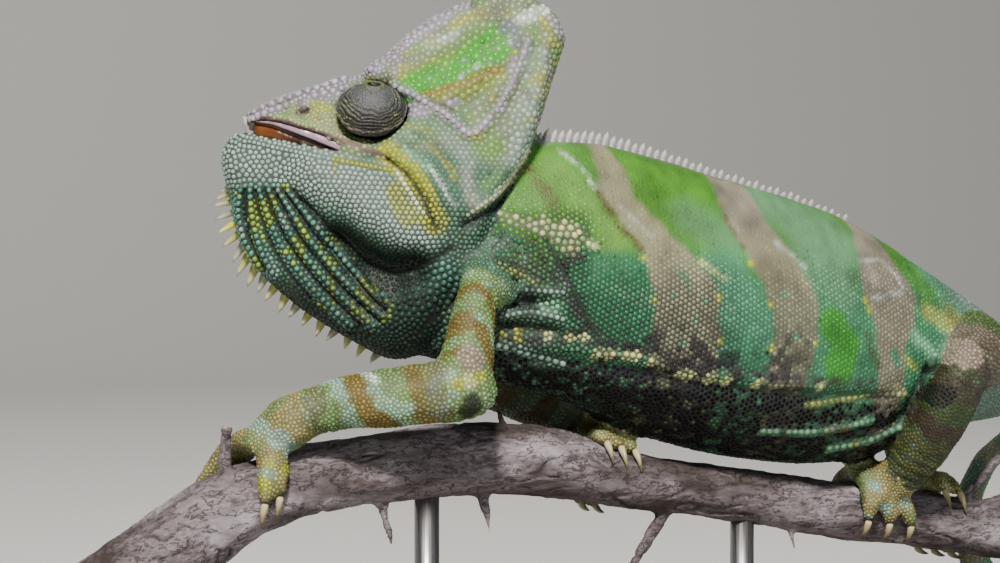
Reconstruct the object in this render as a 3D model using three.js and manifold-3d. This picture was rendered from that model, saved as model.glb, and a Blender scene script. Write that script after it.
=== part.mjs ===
// A veiled chameleon, life size, gripping a short cut length of branch on a plain display stand.
// Millimetres, +Z up. The head points to -X and the animal's left side to -Y.
// The numbers below are in the animal's own frame, whose origin is the pivot of the neck.
// The exported group then carries that frame so that its origin is the middle of the stand's foot.
import * as THREE from "three";
import { mergeVertices } from "three/addons/utils/BufferGeometryUtils.js";
import Module from "manifold-3d";

const wasm = await Module();
wasm.setup();

// ---------------------------------------------------------------- driving dimensions

const GAP = 0.3; // clearance between neighbouring pieces
const HEAD_TURN = -24; // degrees, the head looks a little to the animal's right
const FULL_TURN = 2 * Math.PI;

// Trunk, from inside the head to the root of the tail: x, y, back line z, belly line z, half width.
const TRUNK = [
  [-17, 6.5, 12, -15, 9],
  [-8, 2.6, 20, -18.5, 12],
  [1, 0.4, 26.4, -22, 13.8],
  [10, 0, 29.6, -24.6, 15.2],
  [23, 0, 29.4, -29.4, 17.6],
  [35, 0, 26.7, -34.6, 19],
  [47, 0, 23.3, -38, 19.8],
  [60, 0, 20, -40.4, 19.6],
  [72, 0, 17, -41.8, 18.6],
  [85, 0, 12.4, -41, 16.6],
  [98, 0, 5, -37.6, 13.8],
  [111, 0, -2.6, -34.4, 11],
  [126, 0, -11.8, -32.8, 8.6],
];
const TRUNK_CUTS = { neck: [0.3, 2.5], chest: [2.5, 5.5], belly: [5.5, 9], pelvis: [9, 12] };
const KEEL = 0.24; // how much narrower the trunk is above its middle than below it

// Crest of small cones down the back.
const CREST = { from: 7, to: 70, count: 28, height: [3.7, 1.2], radius: 1.05 };

// Tail: a nearly straight root, then a flat spiral that closes towards the tip.
const TAIL = {
  root: [[126, 0, -22.3], [133, 0.8, -23]],
  swing: [146, 12, -26.5], // where it has swung clear of the branch
  eye: [151, 21, -57], // centre of the spiral
  outer: 28, // radius of the spiral where it starts
  pitch: 11, // how much the spiral closes in one turn
  turns: 1.6,
  start: 52, // degrees round the spiral's centre
  thick: [10.6, 7.2, 5, 3.6, 2.4, 0.9], // half height, root to tip
  flat: 0.82, // half width over half height
  pieces: 5,
};

// Head outline in its own upright plane, before it turns: x and z.
const HEAD_TOP = [
  [-58, 27], [-57.3, 29.6], [-55.4, 31.4], [-53.5, 33.4], [-51.6, 35.4], [-47.2, 38], [-42.5, 39.5],
  [-37, 40.9], [-31.4, 41.9], [-27.6, 42.5], [-26.3, 45.3], [-22.8, 48.1], [-18.4, 52.1],
  [-13.4, 55.7], [-8, 58.1], [-2.6, 59.5], [3, 59.8], [7.6, 58.6], [11.2, 55.8], [13.1, 51.8],
];
const HEAD_BOTTOM = [
  [-58, 24], [-57.3, 20.4], [-56, 15.8], [-54.8, 9.8], [-52.6, 4.4], [-50, 1.2], [-46.2, -2.3],
  [-42, -5.9], [-37.8, -8.7], [-33.6, -11.3], [-29.4, -13.6], [-25, -16.2], [-20.5, -17],
  [-16.5, -15], [-10.5, -8], [-5.5, 1], [-2, 11], [1, 18.4], [4.4, 25], [7.8, 34], [10.6, 42.6],
  [13.1, 50],
];
// Half widths of the head at named places: x, z, half width.
const HEAD_WIDTHS = {
  snout: [-52, 34.5, 5.4],
  nostril: [-42, 36.5, 7.8],
  canthus: [-36, 41, 6.4],
  upper_lip: [-47, 31, 8.2],
  lip_middle: [-36, 28, 11.4],
  under_eye: [-26, 27, 13.2],
  brow: [-26, 43, 9.6],
  orbit: [-27, 36, 11.2],
  temple: [-15, 32, 13.2],
  cheek: [-14, 22, 14.6],
  jaw_angle: [-8, 13, 14],
  crest_side: [-5, 33, 12],
  casque_foot: [-12, 42, 8.4],
  casque_middle: [-6, 49, 5],
  casque_top: [-2, 57, 2.6],
  casque_tip: [9, 53, 3],
  casque_back: [5, 41, 7],
  occiput: [1, 29, 11],
  nape_lobe: [-2, 19, 12.6],
  chin: [-55, 26, 6],
  jaw_front: [-48, 21, 9.4],
  jaw_middle: [-36, 15, 12],
  jaw_back: [-21, 10, 13.8],
  pouch_front: [-52, 9, 5],
  pouch_middle: [-41, 0, 7],
  pouch_low: [-31, -8, 6.6],
  pouch_back: [-19, -6, 10.4],
  throat: [-9, -2, 12.6],
};
const WIDTH_REACH = 6.2; // how far each named width holds, before its neighbours take over
const EDGE_ROUND = { top: 5.5, bottom: 8 }; // depth over which the head rounds off to its outline

// The slit of the mouth: the edge of the upper lip, and of the lower one.
const UPPER_LIP = [[-62, 34], [-52.4, 33.6], [-47.4, 33.3], [-39, 31], [-30.6, 28], [-23, 25.2]];
const LOWER_LIP = [[-62, 30.2], [-52, 30.7], [-47.4, 29.6], [-38, 27.6], [-30.6, 26.2], [-23, 24.8]];
const MOUTH_CORNER = [[-14.7, 19.5], [-8, 13.2], [-3.5, 8.6], [4, 2]];
// The foot of the casque: over the brow, down the side crest and back to the nape.
const CASQUE_FOOT = [[-30, 47], [-24.5, 44.2], [-18, 41], [-10, 35.6], [-5, 31], [0, 26.4], [9, 21]];

// Soft cones down the middle of the throat: how many, length at the two ends, radius.
const GULAR_CREST = { count: 18, length: [5.2, 2.6], radius: 1.35 };

const EYE = { centre: [-26.8, 10.4, 35.6], radius: 7.5, tall: 0.8 };

// Branch: centre line x, y and z, and radius.
const BRANCH = [
  [-106, 4, -77, 9.6], [-86, 2, -62.5, 9.3], [-69.5, 0.5, -51, 9.1], [-54, 0, -42.4, 7.9],
  [-36, 0, -39, 7.1], [-12.6, 0, -37.1, 8], [3, 0, -37.7, 7.8], [15.5, 0, -39.8, 7.3],
  [28, 0, -43.2, 6.2], [50.5, 0, -46.4, 6], [71, 0, -50, 6.4], [88, 0, -52.7, 6.5],
  [106, -0.5, -55.3, 6.7], [125, -2, -58.6, 6.6], [141, -4, -62, 6.3],
];

// Limbs: x, y, z and radius from the root down. The feet hold the branch like tongs, with one bundle
// of toes outside and one inside: two and three toes in a fore foot, three and two in a hind foot.
// palm: degrees from the top of the branch towards the outside. Bundles: reach in degrees from the
// palm, lean along the branch, and the spacing of the toes at their tips.
const LIMBS = {
  left_fore: {
    side: -1,
    upper_arm: [
      [-1, -5, 4, 7.5], [-7, -11, 1, 6], [-12.6, -15, -2.4, 4.4], [-15.4, -18.6, -9.6, 5],
      [-17.2, -20.6, -15.4, 5.8], [-17.8, -21, -20.2, 4.6],
    ],
    forearm: [
      [-12.4, -21.8, -19.4, 3.4], [-15.2, -21.6, -20.6, 5.7], [-19.6, -20.4, -21.2, 6.4],
      [-31, -15.4, -22.4, 6.3], [-39.5, -10.6, -23.6, 5.5], [-46, -7, -25.4, 4.9],
    ],
    foot: [[-46, -7, -25.4, 4.9], [-49.6, -4.8, -27.8, 5.6], [-53, -2, -31, 4.6]],
    grip: {
      x: -53.4, palm: 8,
      outer: { toes: 2, reach: 80, lean: -1.4, spacing: 3.3 },
      inner: { toes: 3, reach: 100, lean: -8.5, spacing: 3.4 },
    },
  },
  right_fore: {
    side: 1,
    upper_arm: [
      [-1, 5, 4, 7.5], [-4, 13, -2, 6], [-2, 19, -9, 4.8], [2, 21.5, -16, 5.2],
      [3.4, 22, -20.4, 4.6],
    ],
    forearm: [
      [0, 22, -20, 3.6], [3, 21.6, -21, 5.6], [9, 20, -23.5, 6], [15, 17, -26.5, 5.6],
      [20, 13.6, -30, 5], [23.6, 11, -32.8, 4.6],
    ],
    foot: [[23.6, 11, -32.8, 4.6], [25.8, 8.6, -35, 4.4], [27, 6.4, -37, 4]],
    grip: {
      x: 26, palm: 46,
      outer: { toes: 2, reach: 92, lean: -3, spacing: 3.3 },
      inner: { toes: 3, reach: 70, lean: 0.5, spacing: 3.4 },
    },
  },
  left_hind: {
    side: -1,
    thigh: [
      [114, -4, -16, 8.6], [111, -11, -18, 8], [107, -17, -18.6, 6.8], [103.4, -20.6, -18.8, 6],
      [101.6, -21.6, -19.4, 4.4],
    ],
    shank: [
      [103, -21, -15.4, 3.6], [102, -21.4, -18.4, 5.4], [99.4, -21, -24.4, 5.8],
      [97, -18.4, -31.6, 6], [95, -13.6, -38.6, 5.4], [93.6, -9.4, -43.4, 5],
    ],
    foot: [[93.6, -9.4, -43.4, 5], [91.6, -6.4, -45.4, 4.8], [89.6, -3, -46.4, 4.4]],
    spur: { at: [90, -5.4, -46], along: [-0.62, -0.1, 0.6] },
    grip: {
      x: 88.4, palm: 14,
      outer: { toes: 3, reach: 84, lean: 2.4, spacing: 5.4 },
      inner: { toes: 2, reach: 100, lean: 0, spacing: 3.8 },
    },
  },
  right_hind: {
    side: 1,
    thigh: [
      [114, 4, -16, 8.6], [113.6, 11, -18.6, 8], [113, 17, -21, 6.8], [112.6, 20.6, -23.4, 6],
      [112.6, 21.8, -25.4, 4.4],
    ],
    shank: [
      [113.6, 22, -20, 3.6], [113.4, 22, -23.4, 5.4], [112.6, 21.6, -30, 5.6],
      [111.6, 19.6, -36.8, 5.4], [110.8, 16, -43.2, 4.9], [110.4, 12.8, -47.6, 4.6],
    ],
    foot: [[110.4, 12.8, -47.6, 4.6], [110, 9.6, -49.8, 4.4], [109.6, 6.8, -51, 4]],
    spur: { at: [110.4, 8.6, -49.4], along: [-0.62, 0.3, 0.6] },
    grip: {
      x: 109, palm: 60,
      outer: { toes: 3, reach: 80, lean: 1, spacing: 4.2 },
      inner: { toes: 2, reach: 88, lean: 0, spacing: 3.8 },
    },
  },
};
const TOE = { width: 3.6, palm: 2.6, pad: 2.1, root: 1.85, tip: 1.35, split: 0.56 };
const CLAW = { radius: 1.05, length: 4.6 };
const SPUR = { radius: 2, length: 6 };

const STAND = {
  length: 236, width: 112, thick: 12, corner: 16, bevel: 1.2,
  middle_x: 30, // under the weight of the whole model
  top_z: -94,
  rod_x: [-17, 58],
  rod_radius: 2.6,
};

const COLOURS = {
  green: 0x5f8f4a, casque: 0x93a878, throat: 0x6f9a86, limb: 0x8a9a58, eye: 0x4c5048,
  claw: 0xb9ac7a, bark: 0x8d8384, board: 0x4a3a2c, steel: 0x9a9c9e,
};

// ---------------------------------------------------------------- shared shapes

const radians = THREE.MathUtils.degToRad;

// A closed surface through rings of points, each ring the same way round as seen from the last one,
// with a flat fan over each end.
function closedRings(rings) {
  const around = rings[0].length;
  const middle = (ring) =>
    ring.reduce((sum, p) => sum.add(p), new THREE.Vector3()).divideScalar(around);
  const points = [...rings.flat(), middle(rings[0]), middle(rings[rings.length - 1])];
  const [first, last] = [points.length - 2, points.length - 1];
  const faces = [];
  for (let j = 0; j < rings.length - 1; j++) {
    for (let i = 0; i < around; i++) {
      const a = j * around + i;
      const b = j * around + ((i + 1) % around);
      faces.push(a, b, b + around, a, b + around, a + around);
    }
  }
  const end = (rings.length - 1) * around;
  for (let i = 0; i < around; i++) {
    const next = (i + 1) % around;
    faces.push(first, next, i, last, end + i, end + next);
  }
  return new THREE.BufferGeometry().setFromPoints(points).setIndex(faces);
}

// The solid of a closed geometry, and the geometry of a solid.
function solid(geometry) {
  const bare = geometry.clone();
  bare.deleteAttribute("normal");
  bare.deleteAttribute("uv");
  const merged = mergeVertices(bare, 1e-3);
  return new wasm.Manifold(
    new wasm.Mesh({
      numProp: 3,
      vertProperties: new Float32Array(merged.attributes.position.array),
      triVerts: new Uint32Array(merged.index.array),
    }),
  );
}
function geometryOf(body) {
  const mesh = body.getMesh();
  return new THREE.BufferGeometry()
    .setAttribute("position", new THREE.BufferAttribute(new Float32Array(mesh.vertProperties), 3))
    .setIndex(new THREE.BufferAttribute(new Uint32Array(mesh.triVerts), 1));
}

// A number that runs smoothly through rows of numbers, read at a place counted in rows.
function smoothRows(rows) {
  const curves = [];
  for (let column = 0; column < rows[0].length; column++) {
    curves.push(
      new THREE.CatmullRomCurve3(
        rows.map((row, i) => new THREE.Vector3(i, row[column], 0)),
        false,
        "catmullrom",
        0.5,
      ),
    );
  }
  return (place) => curves.map((curve) => curve.getPoint(place / (rows.length - 1)).y);
}

// The height of an outline at x, for points that run one way along x.
function heightAt(outline, x) {
  let i = 0;
  while (i < outline.length - 2 && outline[i + 1][0] < x) i++;
  const [x0, z0] = outline[i];
  const [x1, z1] = outline[i + 1];
  const share = THREE.MathUtils.clamp((x - x0) / (x1 - x0), 0, 1);
  return z0 + (z1 - z0) * share;
}

// One ring round a path: half height up and down, half width, and how square or pointed it is.
function ringAt(point, tangent, sideways, up, down, side, around, power = 2) {
  const rise = new THREE.Vector3().crossVectors(tangent, sideways).normalize();
  const across = new THREE.Vector3().crossVectors(rise, tangent).normalize();
  const ring = [];
  for (let i = 0; i < around; i++) {
    const angle = (FULL_TURN * i) / around;
    const [c, s] = [Math.cos(angle), Math.sin(angle)];
    const reach = (Math.abs(c) ** power + Math.abs(s) ** power) ** (-1 / power);
    ring.push(
      point.clone()
        .addScaledVector(across, side * reach * c)
        .addScaledVector(rise, (s > 0 ? up : down) * reach * s),
    );
  }
  return ring;
}

// A tapering tube through rows of x, y, z and radius, between two places counted in rows.
function tube(path, steps, around, { grow = 0, flat = 1, sideways = [0, 1, 0], to = 0 } = {}) {
  const rows = smoothRows(path);
  const side = new THREE.Vector3(...sideways);
  const end = to || path.length - 1;
  const rings = [];
  for (let j = 0; j <= steps; j++) {
    const place = (end * j) / steps;
    const [x, y, z, r] = rows(place);
    const [ax, ay, az] = rows(Math.max(place - 0.02, 0));
    const [bx, by, bz] = rows(Math.min(place + 0.02, path.length - 1));
    const tangent = new THREE.Vector3(bx - ax, by - ay, bz - az).normalize();
    const up = r + grow;
    rings.push(ringAt(new THREE.Vector3(x, y, z), tangent, side, up, up, r * flat + grow, around));
  }
  return closedRings(rings);
}

// A round cone standing at a point and leaning along a direction, sharp unless a tip is given.
function cone(at, along, radius, length, around, tip = 0) {
  const shape = tip
    ? new THREE.CylinderGeometry(radius * tip, radius, length, around)
    : new THREE.ConeGeometry(radius, length, around);
  shape.translate(0, length / 2, 0);
  const turn = new THREE.Quaternion().setFromUnitVectors(
    new THREE.Vector3(0, 1, 0),
    along.clone().normalize(),
  );
  return shape.applyQuaternion(turn).translate(at.x, at.y, at.z);
}

// A prism over an outline drawn in the upright plane y = 0.
function uprightPrism(outline, halfDepth = 40) {
  const shape = new THREE.Shape(outline.map(([x, z]) => new THREE.Vector2(x, z)));
  const prism = new THREE.ExtrudeGeometry(shape, { depth: 2 * halfDepth, bevelEnabled: false });
  return prism.rotateX(Math.PI / 2).translate(0, halfDepth, 0);
}

const group = new THREE.Group();
const headGroup = new THREE.Group();
headGroup.rotation.z = radians(HEAD_TURN);
headGroup.updateMatrix();
group.add(headGroup);

function addPart(name, body, colour, { parent = group, roughness = 0.6, metalness = 0 } = {}) {
  const geometry = body.isBufferGeometry ? body : geometryOf(body);
  geometry.computeVertexNormals();
  const mesh = new THREE.Mesh(
    geometry,
    new THREE.MeshStandardMaterial({ color: COLOURS[colour], roughness, metalness }),
  );
  mesh.name = name;
  parent.add(mesh);
}

// ---------------------------------------------------------------- head

// Half width of the head at a place in its upright plane, blended between the named widths.
function headWidth(x, z) {
  let total = 0;
  let weight = 0;
  for (const [px, pz, width] of Object.values(HEAD_WIDTHS)) {
    const share = Math.exp(-((x - px) ** 2 + (z - pz) ** 2) / (2 * WIDTH_REACH ** 2)) + 1e-9;
    total += width * share;
    weight += share;
  }
  return total / weight;
}

function headSolid(grow = 0) {
  const levels = 9;
  const rounding = (depth, reach) => {
    const share = THREE.MathUtils.clamp(depth / reach, 0, 1);
    return Math.sqrt(1 - (1 - share) ** 2);
  };
  const last = HEAD_TOP.length - 1;
  const rings = HEAD_TOP.map(([x, crown], j) => {
    const top = crown + grow;
    const bottom = heightAt(HEAD_BOTTOM, x) - grow;
    const half = [];
    for (let k = 0; k <= levels; k++) {
      const z = bottom + ((top - bottom) * (1 - Math.cos((Math.PI * k) / levels))) / 2;
      const edge = Math.min(rounding(top - z, EDGE_ROUND.top), rounding(z - bottom, EDGE_ROUND.bottom));
      half.push([headWidth(x, z) * edge + grow + 0.35, z]);
    }
    const place = x + grow * ((2 * j) / last - 1);
    return [
      ...half.map(([width, z]) => new THREE.Vector3(place, width, z)),
      ...half.reverse().map(([width, z]) => new THREE.Vector3(place, -width, z)),
    ];
  });
  return solid(closedRings(rings));
}

const offsetLine = (line, dz) => line.map(([x, z]) => [x, z + dz]);
const overHead = [[20, 90], [-70, 90]];
const underHead = [[20, -40], [-70, -40]];
const upperMouth = [...UPPER_LIP, ...offsetLine(MOUTH_CORNER, GAP / 2)];
const lowerMouth = [...LOWER_LIP, ...offsetLine(MOUTH_CORNER, -GAP / 2)];

function eyeSolid(side, grow) {
  const shape = new THREE.SphereGeometry(1, 12, 8);
  const [x, y, z] = EYE.centre;
  const radius = EYE.radius + grow;
  return solid(
    shape.rotateX(Math.PI / 2).scale(radius, radius, radius * EYE.tall).translate(x, side * y, z),
  );
}

const wholeHead = headSolid();
const sockets = eyeSolid(-1, GAP).add(eyeSolid(1, GAP));
const cranium = wholeHead
  .intersect(solid(uprightPrism([...upperMouth, [20, 60], [-70, 60]])))
  .subtract(solid(uprightPrism([...offsetLine(CASQUE_FOOT, -GAP / 2), ...overHead])))
  .subtract(sockets);
const casque = wholeHead
  .intersect(solid(uprightPrism([...offsetLine(CASQUE_FOOT, GAP / 2), ...overHead])))
  .subtract(sockets);

// The throat is the lower jaw with its pouch, and a row of soft spines down its middle.
let throat = wholeHead.intersect(solid(uprightPrism([...lowerMouth, ...underHead])));
const throatLine = new THREE.Path(
  HEAD_BOTTOM.filter(([x]) => x > -57.5 && x < -22).map(([x, z]) => new THREE.Vector2(x, z)),
);
for (let i = 0; i < GULAR_CREST.count; i++) {
  const share = i / (GULAR_CREST.count - 1);
  const { x, y: z } = throatLine.getPointAt(0.06 + 0.94 * share);
  const [long, short] = GULAR_CREST.length;
  const length = long + (short - long) * share ** 2.2 - (i % 3) * 0.3;
  const angle = radians(168 - 78 * Math.sin((Math.PI / 2) * Math.min(share * 1.5, 1)));
  const outward = new THREE.Vector3(Math.cos(angle), 0, -Math.sin(angle));
  const foot = new THREE.Vector3(x, 0, z).addScaledVector(outward, -1.8);
  throat = throat.add(solid(cone(foot, outward, GULAR_CREST.radius, length + 1.8, 4)));
}

addPart("head", cranium, "casque", { parent: headGroup });
addPart("casque", casque, "casque", { parent: headGroup });
addPart("throat", throat, "throat", { parent: headGroup });
addPart("left_eye", eyeSolid(-1, 0), "eye", { parent: headGroup, roughness: 0.45 });
addPart("right_eye", eyeSolid(1, 0), "eye", { parent: headGroup, roughness: 0.45 });

// ---------------------------------------------------------------- trunk

const trunkRows = smoothRows(TRUNK);
function trunkSolid(from, to, grow = 0) {
  const steps = Math.max(3, Math.round((to - from) * 2));
  const rings = [];
  for (let j = 0; j <= steps; j++) {
    const share = j / steps;
    const [x, y, top, bottom, side] = trunkRows(from + (to - from) * share);
    const ring = ringAt(
      new THREE.Vector3(x + grow * (2 * share - 1), y, (top + bottom) / 2),
      new THREE.Vector3(1, 0, 0),
      new THREE.Vector3(0, 1, 0),
      (top - bottom) / 2 + grow, (top - bottom) / 2 + grow, side + grow, 18, 1.86,
    );
    for (const point of ring) {
      const rise = (2 * point.z - top - bottom) / (top - bottom);
      point.y = y + (point.y - y) * (1 - KEEL * rise);
    }
    rings.push(ring);
  }
  return solid(closedRings(rings));
}

// The small cones of the crest that stand on one length of the back.
function withCrest(piece, from, to) {
  let crested = piece;
  for (let i = 0; i < CREST.count; i++) {
    const share = i / (CREST.count - 1);
    const x = CREST.from + (CREST.to - CREST.from) * share;
    if (x - CREST.radius < from || x + CREST.radius > to) continue;
    const height = CREST.height[0] + (CREST.height[1] - CREST.height[0]) * share;
    const foot = new THREE.Vector3(x, 0, backHeight(x) - 1.2);
    const lean = new THREE.Vector3(0.25, 0, 1);
    crested = crested.add(solid(cone(foot, lean, CREST.radius, height + 1.2, 4)));
  }
  return crested;
}
function backHeight(x) {
  let i = 0;
  while (i < TRUNK.length - 2 && TRUNK[i + 1][0] < x) i++;
  return trunkRows(i + (x - TRUNK[i][0]) / (TRUNK[i + 1][0] - TRUNK[i][0]))[2];
}

const grownTrunk = trunkSolid(0, TRUNK.length - 1, GAP);
const grownHead = headSolid(GAP).rotate([0, 0, HEAD_TURN]);
const halfGap = 0.012; // in rows of the trunk's table, about half of GAP
for (const [name, [from, to]] of Object.entries(TRUNK_CUTS)) {
  const piece = trunkSolid(from + halfGap, to - halfGap);
  const [start] = trunkRows(from);
  const [end] = trunkRows(to);
  const trimmed = to < 6 ? piece.subtract(grownHead) : piece;
  addPart(name, withCrest(trimmed, start, end), "green");
}

// ---------------------------------------------------------------- tail

// Points down the middle of the tail: its root, then the spiral.
function tailPath() {
  const [cx, cy, cz] = TAIL.eye;
  const points = [...TAIL.root, TAIL.swing];
  const steps = 22;
  for (let i = 0; i <= steps; i++) {
    const turned = (TAIL.turns * i) / steps;
    const angle = radians(TAIL.start) - FULL_TURN * turned;
    const reach = TAIL.outer - TAIL.pitch * turned;
    points.push([cx + reach * Math.cos(angle), cy, cz + reach * Math.sin(angle)]);
  }
  return points;
}
const tailCurve = new THREE.CatmullRomCurve3(
  tailPath().map((p) => new THREE.Vector3(...p)), false, "centripetal",
);
tailCurve.arcLengthDivisions = 600;
const tailThickness = smoothRows(TAIL.thick.map((t) => [t]));

function tailPiece(from, to) {
  const steps = Math.round((to - from) * 32);
  const rings = [];
  for (let j = 0; j <= steps; j++) {
    const share = from + ((to - from) * j) / steps;
    const [thick] = tailThickness(share * (TAIL.thick.length - 1));
    rings.push(
      ringAt(
        tailCurve.getPointAt(share), tailCurve.getTangentAt(share), new THREE.Vector3(0, 1, 0),
        thick, thick, thick * TAIL.flat, 7,
      ),
    );
  }
  return closedRings(rings);
}
const tailGap = GAP / tailCurve.getLength();
for (let i = 0; i < TAIL.pieces; i++) {
  const from = i / TAIL.pieces + tailGap;
  const piece = tailPiece(from, Math.min((i + 1) / TAIL.pieces, 1));
  addPart(`tail_${i + 1}`, i === 0 ? solid(piece).subtract(grownTrunk) : piece, "green");
}

// ---------------------------------------------------------------- branch

const branchRows = smoothRows(BRANCH);
// The branch where its centre line passes x: that point, its radius, and how its slope stretches it.
function branchAt(x) {
  let [low, high] = [0, BRANCH.length - 1];
  for (let i = 0; i < 40; i++) {
    const middle = (low + high) / 2;
    if (branchRows(middle)[0] < x) low = middle;
    else high = middle;
  }
  const [, y, z, radius] = branchRows(low);
  const [ax, , az] = branchRows(Math.max(low - 0.05, 0));
  const [bx, , bz] = branchRows(Math.min(low + 0.05, BRANCH.length - 1));
  return { y, z, radius, stretch: Math.hypot(bx - ax, bz - az) / (bx - ax) };
}
const branchSolid = (grow) => solid(tube(BRANCH, 20, 9, { grow }));

// Thorns and cut twigs: where along x, the direction that they lean, radius, length, and the radius
// of the tip as a share of the foot's.
const TWIGS = [
  [-62, [0, -0.18, 1], 1.7, 18.6, 0.85],
  [-29.3, [0.2, -0.2, -1], 2.3, 16.5, 0.12],
  [-5.3, [0.08, -0.2, -1], 2.9, 17.4, 0.1],
  [3, [-0.12, 0.5, 1], 2, 14, 0.12],
  [42.5, [-0.62, -0.1, -0.8], 2, 25, 0.6],
  [69, [0.05, -0.3, -1], 2, 10.6, 0.15],
  [109, [0.62, -0.25, 0.75], 1.6, 20, 0.7],
  [112, [0.86, -0.42, 0.42], 2.6, 24, 0.75],
];
let perch = branchSolid(0);
for (const [x, lean, radius, length, tip] of TWIGS) {
  const { y, z } = branchAt(x);
  perch = perch.add(
    solid(cone(new THREE.Vector3(x, y, z), new THREE.Vector3(...lean), radius, length, 6, tip)),
  );
}
addPart("perch", perch, "bark", { roughness: 0.9 });

// ---------------------------------------------------------------- limbs and feet

const grownBranch = branchSolid(GAP);

// A curved finger round the branch, between two angles in degrees from its top towards the outside.
function wrapped(side, xAt, from, to, seat, radius, flat, steps, around) {
  const path = [];
  for (let i = 0; i <= steps; i++) {
    const share = i / steps;
    const x = xAt(share);
    const branch = branchAt(x);
    const angle = radians(from + (to - from) * share);
    const reach = branch.radius + seat(share);
    path.push([
      x,
      branch.y + side * reach * Math.sin(angle),
      branch.z + (branch.radius * branch.stretch + seat(share)) * Math.cos(angle),
      radius(share),
    ]);
  }
  return tube(path, steps, around, { flat, sideways: [1, 0, 0] });
}

// One foot: the ankle, and two bundles of toes round the branch. Its claws are parts of their own.
function addFoot(limbName, limb, taken) {
  const { side, grip } = limb;
  let foot = solid(tube(limb.foot, 2, 7));
  for (const [bundleName, sign] of [["outer", 1], ["inner", -1]]) {
    const { toes, reach, lean, spacing } = grip[bundleName];
    const middle = (toes - 1) / 2;
    const angle = (share) => grip.palm + sign * reach * share;
    const pad = (share) => TOE.palm + (TOE.pad - TOE.palm) * share;
    const bundleX = (share) => grip.x + lean * share * TOE.split;
    foot = foot.add(
      solid(
        wrapped(
          side, bundleX, angle(-0.1), angle(TOE.split + 0.1), (share) => pad(share) + 0.45, pad,
          (toes * TOE.width) / 2 / TOE.palm, 3, 7,
        ),
      ),
    );
    for (let i = 0; i < toes; i++) {
      const toeX = (share) => {
        const gap = TOE.width * 0.85 + (spacing - TOE.width * 0.85) * share;
        return grip.x + lean * share + (i - middle) * gap;
      };
      const toeRadius = (share) => TOE.root + (TOE.tip - TOE.root) * share ** 2;
      const along = (share) => TOE.split * 0.8 + (1 - TOE.split * 0.8) * share;
      foot = foot.add(
        solid(
          wrapped(
            side, (share) => toeX(along(share)), angle(along(0)), angle(1),
            (share) => toeRadius(share) + 0.45, toeRadius, 1, 2, 6,
          ),
        ),
      );
      const sweep = (sign * CLAW.length * 180) / (Math.PI * branchAt(toeX(1)).radius);
      addPart(
        `${limbName}_claw_${bundleName}_${i + 1}`,
        wrapped(
          side, (share) => toeX(1 + share * 0.1), angle(1) + sign * 2.4, angle(1) + sweep,
          (share) => 1.7 - 0.9 * share, (share) => CLAW.radius * (1 - 0.85 * share), 1, 2, 4,
        ),
        "claw",
        { roughness: 0.35 },
      );
    }
  }
  if (limb.spur) {
    const at = new THREE.Vector3(...limb.spur.at);
    const along = new THREE.Vector3(...limb.spur.along);
    foot = foot.add(solid(cone(at, along, SPUR.radius, SPUR.length, 6)));
  }
  addPart(`${limbName}_foot`, foot.subtract(grownBranch).subtract(taken), "limb");
}

for (const [limbName, limb] of Object.entries(LIMBS)) {
  let taken = grownTrunk.add(grownHead);
  for (const partName of ["forearm", "upper_arm", "shank", "thigh"]) {
    const path = limb[partName];
    if (!path) continue;
    const piece = solid(tube(path, 5, 7));
    addPart(`${limbName}_${partName}`, piece.subtract(taken).subtract(grownBranch), "limb");
    taken = taken.add(solid(tube(path, 5, 7, { grow: GAP })));
  }
  addFoot(limbName, limb, taken);
}

// ---------------------------------------------------------------- stand

function standBase() {
  const { length, width, thick, corner, bevel } = STAND;
  const [halfLength, halfWidth] = [length / 2 - bevel, width / 2 - bevel];
  const shape = new THREE.Shape();
  shape.moveTo(-halfLength + corner, -halfWidth);
  shape.lineTo(halfLength - corner, -halfWidth);
  shape.absarc(halfLength - corner, -halfWidth + corner, corner, -Math.PI / 2, 0);
  shape.absarc(halfLength - corner, halfWidth - corner, corner, 0, Math.PI / 2);
  shape.absarc(-halfLength + corner, halfWidth - corner, corner, Math.PI / 2, Math.PI);
  shape.absarc(-halfLength + corner, -halfWidth + corner, corner, Math.PI, 1.5 * Math.PI);
  return new THREE.ExtrudeGeometry(shape, {
    depth: thick - 2 * bevel, bevelThickness: bevel, bevelSize: bevel, bevelSegments: 1, curveSegments: 3,
  }).translate(STAND.middle_x, 0, STAND.top_z - thick + bevel);
}
addPart("stand_base", standBase(), "board", { roughness: 0.5 });
STAND.rod_x.forEach((x, i) => {
  const { z } = branchAt(x);
  const bottom = STAND.top_z + GAP;
  const rod = new THREE.CylinderGeometry(STAND.rod_radius, STAND.rod_radius, z - bottom, 16)
    .rotateX(Math.PI / 2)
    .translate(x, 0, (z + bottom) / 2);
  addPart(`stand_rod_${i + 1}`, solid(rod).subtract(grownBranch), "steel", {
    roughness: 0.3, metalness: 1,
  });
});

group.position.set(-STAND.middle_x, 0, STAND.thick - STAND.top_z);

export default group;
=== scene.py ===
# A life-size veiled chameleon that grips a cut length of thorny branch on a plain display stand.
# Tables below are in millimetres. Body tables are in the animal's frame, whose origin is the pivot of
# the neck; head tables are in the head's own frame, which turns with the head about that pivot.
import math

import bmesh
import bpy
import numpy as np
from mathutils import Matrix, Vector, bvhtree, kdtree


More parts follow.
